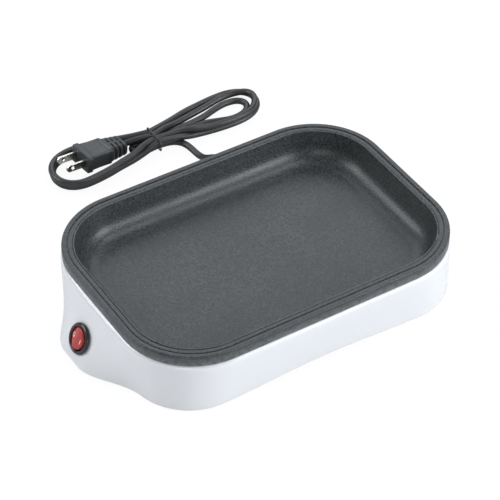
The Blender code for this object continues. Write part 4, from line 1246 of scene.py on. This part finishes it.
# ---------------------------------------------------------------- pan
@dataclass
class Pan:
    """The lift-out cast pan with its grooved rim."""

    finishes: Finishes
    half_length: float = 0.129
    half_width: float = 0.092
    corner: float = 0.0548
    top: float = 0.0510
    flange_height: float = 0.0080
    rim_width: float = 0.0093
    floor: float = 0.0270
    fillet: float = 0.0150
    thickness: float = 0.0025
    draft: float = 0.0022

    def profile(self) -> tuple[list, int]:
        """Return the section as (inset, height) points, and how many of them lie on the upper side."""
        top = self.top
        wall = self.rim_width
        points = [(0.0, top - self.flange_height), (0.0, top - 0.0012), (0.00008, top - 0.0006)]
        points += [(0.00025, top - 0.00025), (0.0006, top - 0.00005), (0.0010, top), (0.0034, top)]
        grooves = ((0.0037, 0.0001), (0.0039, 0.0009), (0.0046, 0.0009), (0.0048, 0.00035), (0.0051, 0.0003),
                   (0.0074, 0.0003), (0.0077, 0.0004), (0.0079, 0.0008), (0.0082, 0.0008), (0.0084, 0.0002),
                   (0.0086, 0.00005))
        points += [(inset, top - dip) for inset, dip in grooves]
        points += [(wall - 0.0003, top - 0.0001), (wall - 0.0001, top - 0.0004), (wall, top - 0.0009)]
        foot = wall + self.draft
        fillet_top = self.floor + self.fillet
        points += [(foot - 0.0002, fillet_top)]
        points += quarter(foot - 0.0001, fillet_top, self.fillet, 20)
        upper = len(points)
        outer = self.fillet + self.thickness
        under = foot - self.thickness
        points += quarter(under, fillet_top, outer, 20, rising=True)
        points += [(wall - self.thickness, top - 0.0030), (0.0022, top - 0.0030)]
        points += [(0.0022, top - self.flange_height + 0.0003), (0.0019, top - self.flange_height)]
        return points, upper

    def build(self) -> Piece:
        """Make the casting.

        Returns:
            The pan.
        """
        points, upper = self.profile()
        rings = []
        for inset, z in points:
            half_x, half_y, corner = self.half_length - inset, self.half_width - inset, self.corner - inset
            outline = rounded_rectangle(half_x, half_y, corner, 24, (20, 12))
            rings.append([(x + BODY_CENTRE_X, y, z) for x, y in outline])
        mesh = bmesh.new()
        loops = [[mesh.verts.new(point) for point in ring] for ring in rings]
        count = len(loops[0])
        for number, lower in enumerate(loops):
            if number == upper - 1:
                continue
            following = loops[(number + 1) % len(loops)]
            for i in range(count):
                j = (i + 1) % count
                mesh.faces.new((lower[i], lower[j], following[j], following[i]))
        mesh.faces.new(loops[upper - 1])
        mesh.faces.new(list(reversed(loops[upper])))
        pan = publish("coated_pan", mesh, self.finishes["pan_coating"], 50.0)
        return add_piece(pan, Body.PAN, "pan_coating", "pan")


# ---------------------------------------------------------------- switch
@dataclass
class PowerSwitch:
    """The round rocker switch on the pod."""

    finishes: Finishes
    housing: Housing
    height: float = 0.0165
    tilt: float = 26.5
    bezel_radius: float = 0.0115
    bezel_height: float = 0.0024
    opening: float = 0.0086
    barrel_radius: float = 0.0094
    barrel_depth: float = 0.0100
    barrel_floor: float = 0.0082
    rocker_radius: float = 0.0079
    ridge: float = 0.0030
    slope: float = 7.0
    pivot: float = 0.0022
    rocker_depth: float = 0.0066

    def place(self) -> Matrix:
        """Return the switch's frame: X up the slope, Y along the body's Y, Z out of the pod."""
        tilt = math.radians(self.tilt)
        out = Vector((-math.cos(tilt), 0.0, math.sin(tilt)))
        up = Vector((math.sin(tilt), 0.0, math.cos(tilt)))
        shell = self.housing
        wall = shell.base[0] + (shell.top[0] - shell.base[0]) * (self.height / shell.shoulder)
        seat = BODY_CENTRE_X - wall - shell.pod_reach(shell.pod_y, self.height)
        matrix = Matrix((up, Vector((0.0, 1.0, 0.0)), out)).transposed().to_4x4()
        matrix.translation = Vector((seat, shell.pod_y, self.height)) + out * 0.0006
        return matrix

    def rocker_place(self) -> Matrix:
        """Return the rocker's frame on its pivot, with the marked end pressed in."""
        tilt = Matrix.Rotation(math.radians(-self.slope), 4, "X")
        return self.place() @ Matrix.Translation((0.0, 0.0, -self.pivot)) @ tilt

    def build_bezel(self) -> Piece:
        """Make the black ring and barrel that carry the rocker.

        Returns:
            The bezel.
        """
        outer, tall, hole = self.bezel_radius, self.bezel_height, self.opening
        profile = [(0.0, -self.barrel_depth), (self.barrel_radius, -self.barrel_depth)]
        profile += [(self.barrel_radius, 0.0002), (outer - 0.0002, 0.0002), (outer, 0.0004)]
        for step in range(1, 9):
            angle = math.radians(90.0 * step / 8)
            inset = 0.0020 * (1 - math.cos(angle))
            profile.append((outer - inset, 0.0006 + (tall - 0.0006) * math.sin(angle)))
        profile += [(hole + 0.0008, tall), (hole + 0.0003, tall - 0.00015), (hole, tall - 0.0005)]
        profile += [(hole, -self.barrel_floor), (0.0, -self.barrel_floor)]
        bezel = publish("switch_ring", turned(profile, 72), self.finishes["switch_black"], 50.0)
        bezel.data.transform(self.place())
        return add_piece(bezel, Body.BASE, "switch_black", "switch_bezel")

    def roof(self, y: float) -> float:
        """Return the height of the rocker's face over its pivot at a distance from the ridge."""
        soft = 0.0004
        drop = math.hypot(y, soft) - soft
        return self.ridge + self.pivot - drop * math.tan(math.radians(self.slope))

    def build_rocker(self) -> Piece:
        """Make the round roof-shaped red key.

        Returns:
            The rocker.
        """
        steps = 72
        low = self.ridge + self.pivot - self.rocker_depth - 0.0012
        mesh = bmesh.new()
        levels = [(0.86, None, low), (0.98, None, low + 0.0015), (1.0, None, 0.0012), (1.0, 0.0009, 0.0)]
        levels += [(0.988, 0.00045, 0.0), (0.962, 0.00012, 0.0), (0.925, 0.0, 0.0)]
        levels += [(0.80, 0.0, 0.0), (0.60, 0.0, 0.0), (0.40, 0.0, 0.0), (0.20, 0.0, 0.0)]
        rings = []
        for scale, below_roof, fixed in levels:
            ring = []
            for k in range(steps):
                angle = math.tau * k / steps
                x = self.rocker_radius * scale * math.cos(angle)
                y = self.rocker_radius * scale * math.sin(angle)
                z = fixed if below_roof is None else self.roof(y) - below_roof
                ring.append(mesh.verts.new((x, y, z)))
            rings.append(ring)
        for lower, upper in zip(rings, rings[1:]):
            for k in range(steps):
                n = (k + 1) % steps
                mesh.faces.new((lower[k], lower[n], upper[n], upper[k]))
        mesh.faces.new(list(reversed(rings[0])))
        peak = mesh.verts.new((0.0, 0.0, self.roof(0.0)))
        for k in range(steps):
            mesh.faces.new((rings[-1][k], rings[-1][(k + 1) % steps], peak))
        rocker = publish("red_rocker", mesh, self.finishes["rocker_red"], 60.0)
        rocker.data.transform(self.rocker_place())
        return add_piece(rocker, Body.ROCKER, "rocker_red", "switch_rocker")

    def build_marks(self) -> None:
        """Print the plain off ring and on bar on the rocker's two faces."""
        raise_by = 0.00006
        steps = 40
        ring_y, ring_radius, stroke = 0.0050, 0.0013, 0.00028
        mesh = bmesh.new()
        loops = []
        for radius, lift in ((ring_radius - stroke, 0.0), (ring_radius - stroke, raise_by),
                             (ring_radius + stroke, raise_by), (ring_radius + stroke, 0.0)):
            loop = []
            for k in range(steps):
                angle = math.tau * k / steps
                x, y = radius * 1.25 * math.cos(angle), ring_y + radius * math.sin(angle)
                loop.append(mesh.verts.new((x, y, self.roof(y) + lift)))
            loops.append(loop)
        for first, second in zip(loops, loops[1:] + loops[:1]):
            for k in range(steps):
                n = (k + 1) % steps
                mesh.faces.new((first[k], first[n], second[n], second[k]))
        ring = publish("off_mark_ring", mesh, self.finishes["mark_white"])
        ring.data.transform(self.rocker_place())
        add_piece(ring, Body.ROCKER, "rocker_red")

        half_x, half_y = 0.0016, 0.00028
        corners = [(half_x, half_y), (-half_x, half_y), (-half_x, -half_y), (half_x, -half_y)]
        rows = []
        for lift in (0.0, raise_by):
            rows.append([(x, y - ring_y, self.roof(y - ring_y) + lift) for x, y in corners])
        bar = publish("on_mark_bar", skin(rows), self.finishes["mark_white"])
        bar.data.transform(self.rocker_place())
        add_piece(bar, Body.ROCKER, "rocker_red")

    def build(self) -> None:
        """Build the ring, the rocker and its marks, and finish the lamp and terminals."""
        self.build_bezel()
        self.build_rocker()
        self.build_marks()
        self.finishes.dress("switch_lamp", "lamp_glass")
        for number in (1, 2, 3):
            self.finishes.dress(f"switch_terminal_{number}", "terminal_brass")


# ---------------------------------------------------------------- heater under the pan
@dataclass
class Heater:
    """The sheathed element, its tray and the small parts between the pan and the base plate."""

    finishes: Finishes
    radius: float = 0.0033
    height: float = 0.0209
    loop: tuple = (0.088, 0.055, 0.036)
    leg: float = 0.013
    tray_half: tuple = (0.1120, 0.0750, 0.042)
    tray_z: float = 0.0128
    tray_rim: float = 0.0205
    tray_thickness: float = 0.0008

    def build_element(self) -> Piece:
        """Make the element: one loop with its two cold ends side by side.

        Returns:
            The element.
        """
        half_x, half_y, corner = self.loop
        arc = 7
        outline = rounded_rectangle(half_x, half_y, corner, arc)
        clockwise = [(x + BODY_CENTRE_X, y, self.height) for x, y in reversed(outline)]
        turn = clockwise[2 * (arc + 1):] + clockwise[:2 * (arc + 1)]
        start_x = BODY_CENTRE_X - half_x
        bend = 0.008
        leg = [(start_x - 0.014, self.leg, self.height), (start_x - bend, self.leg, self.height)]
        leg += [(start_x - 0.002, self.leg + 0.0022, self.height), (start_x, self.leg + bend, self.height)]
        route = leg + turn[1:-1] + [(x, -y, z) for x, y, z in reversed(leg)]
        line = smooth_route(route, 0.0018)
        element = rod("element_tube", line, self.radius, self.finishes["element_sheath"], 6)
        return add_piece(element, Body.BASE, "element_sheath", "heater_element")

    def build_tray(self) -> Piece:
        """Make the reflector tray with its rounded side, turned-out rim and a stiffening bead.

        Returns:
            The tray.
        """
        rim, low, thick = self.tray_rim, self.tray_z, self.tray_thickness
        under = [(0.0, rim), (0.0038, rim), (0.0046, rim - 0.0006), (0.0062, low + 0.0014), (0.0074, low)]
        under += [(0.0240, low), (0.0252, low + 0.0005), (0.0276, low + 0.0005), (0.0288, low)]
        upper = [(inset + 0.0003, z + thick) for inset, z in under[1:]]
        section = list(reversed(under)) + [(0.0, rim + thick)] + upper
        half_x, half_y, corner = self.tray_half
        rings = []
        for inset, z in section:
            tight = max(0.004, corner - inset)
            outline = rounded_rectangle(half_x - inset, half_y - inset, tight, 16, (8, 8))
            rings.append([(x + BODY_CENTRE_X, y, z) for x, y in outline])
        tray = publish("reflector_dish", skin(rings), self.finishes["tray_aluminium"], 40.0)
        notch = bmesh.new()
        bmesh.ops.create_cube(notch, size=1.0)
        bmesh.ops.scale(notch, vec=(0.040, 0.046, 0.020), verts=notch.verts)
        cut(tray, notch, Matrix.Translation((BODY_CENTRE_X - half_x, 0.0, low + 0.0127)))
        return add_piece(tray, Body.BASE, "tray_aluminium", "reflector_tray")

    def build(self) -> None:
        """Build the element and the tray, and finish the small parts that keep their CAD shapes."""
        self.build_element()
        self.build_tray()
        for end in ("rear", "front"):
            self.finishes.dress(f"heater_bushing_{end}", "ceramic")
            self.finishes.dress(f"heater_pin_{end}", "screw_steel")
            for side in ("left", "right"):
                self.finishes.dress(f"tray_spacer_{end}_{side}", "screw_steel")
        for place in ("left", "right", "front"):
            self.finishes.dress(f"heater_clamp_{place}", "base_steel")
        self.finishes.dress("thermostat", "thermostat_black")
        self.finishes.dress("thermal_fuse", "ceramic")
        self.finishes.dress("wire_live", "wire_black")
        self.finishes.dress("wire_neutral", "wire_white")
        self.finishes.dress("crimp_cap", "cap_nylon")


def main() -> None:
    """Build the studio and every sub-assembly in order."""
    logging.basicConfig(level=logging.INFO, format="%(name)s: %(message)s")
    Studio().build()
    finishes = Finishes()
    cord = MainsCord(finishes)
    cord.build_tie()
    cord.build_bushing()
    Plug(finishes).build()
    cord.build_cord()
    housing = Housing(finishes)
    switch = PowerSwitch(finishes, housing)
    housing.build_shell(switch.place(), cord.exit_place)
    housing.build_feet()
    housing.build_screws()
    housing.dress_underside()
    switch.build()
    Heater(finishes).build()
    Pan(finishes).build()


if __name__ == "__main__":
    main()
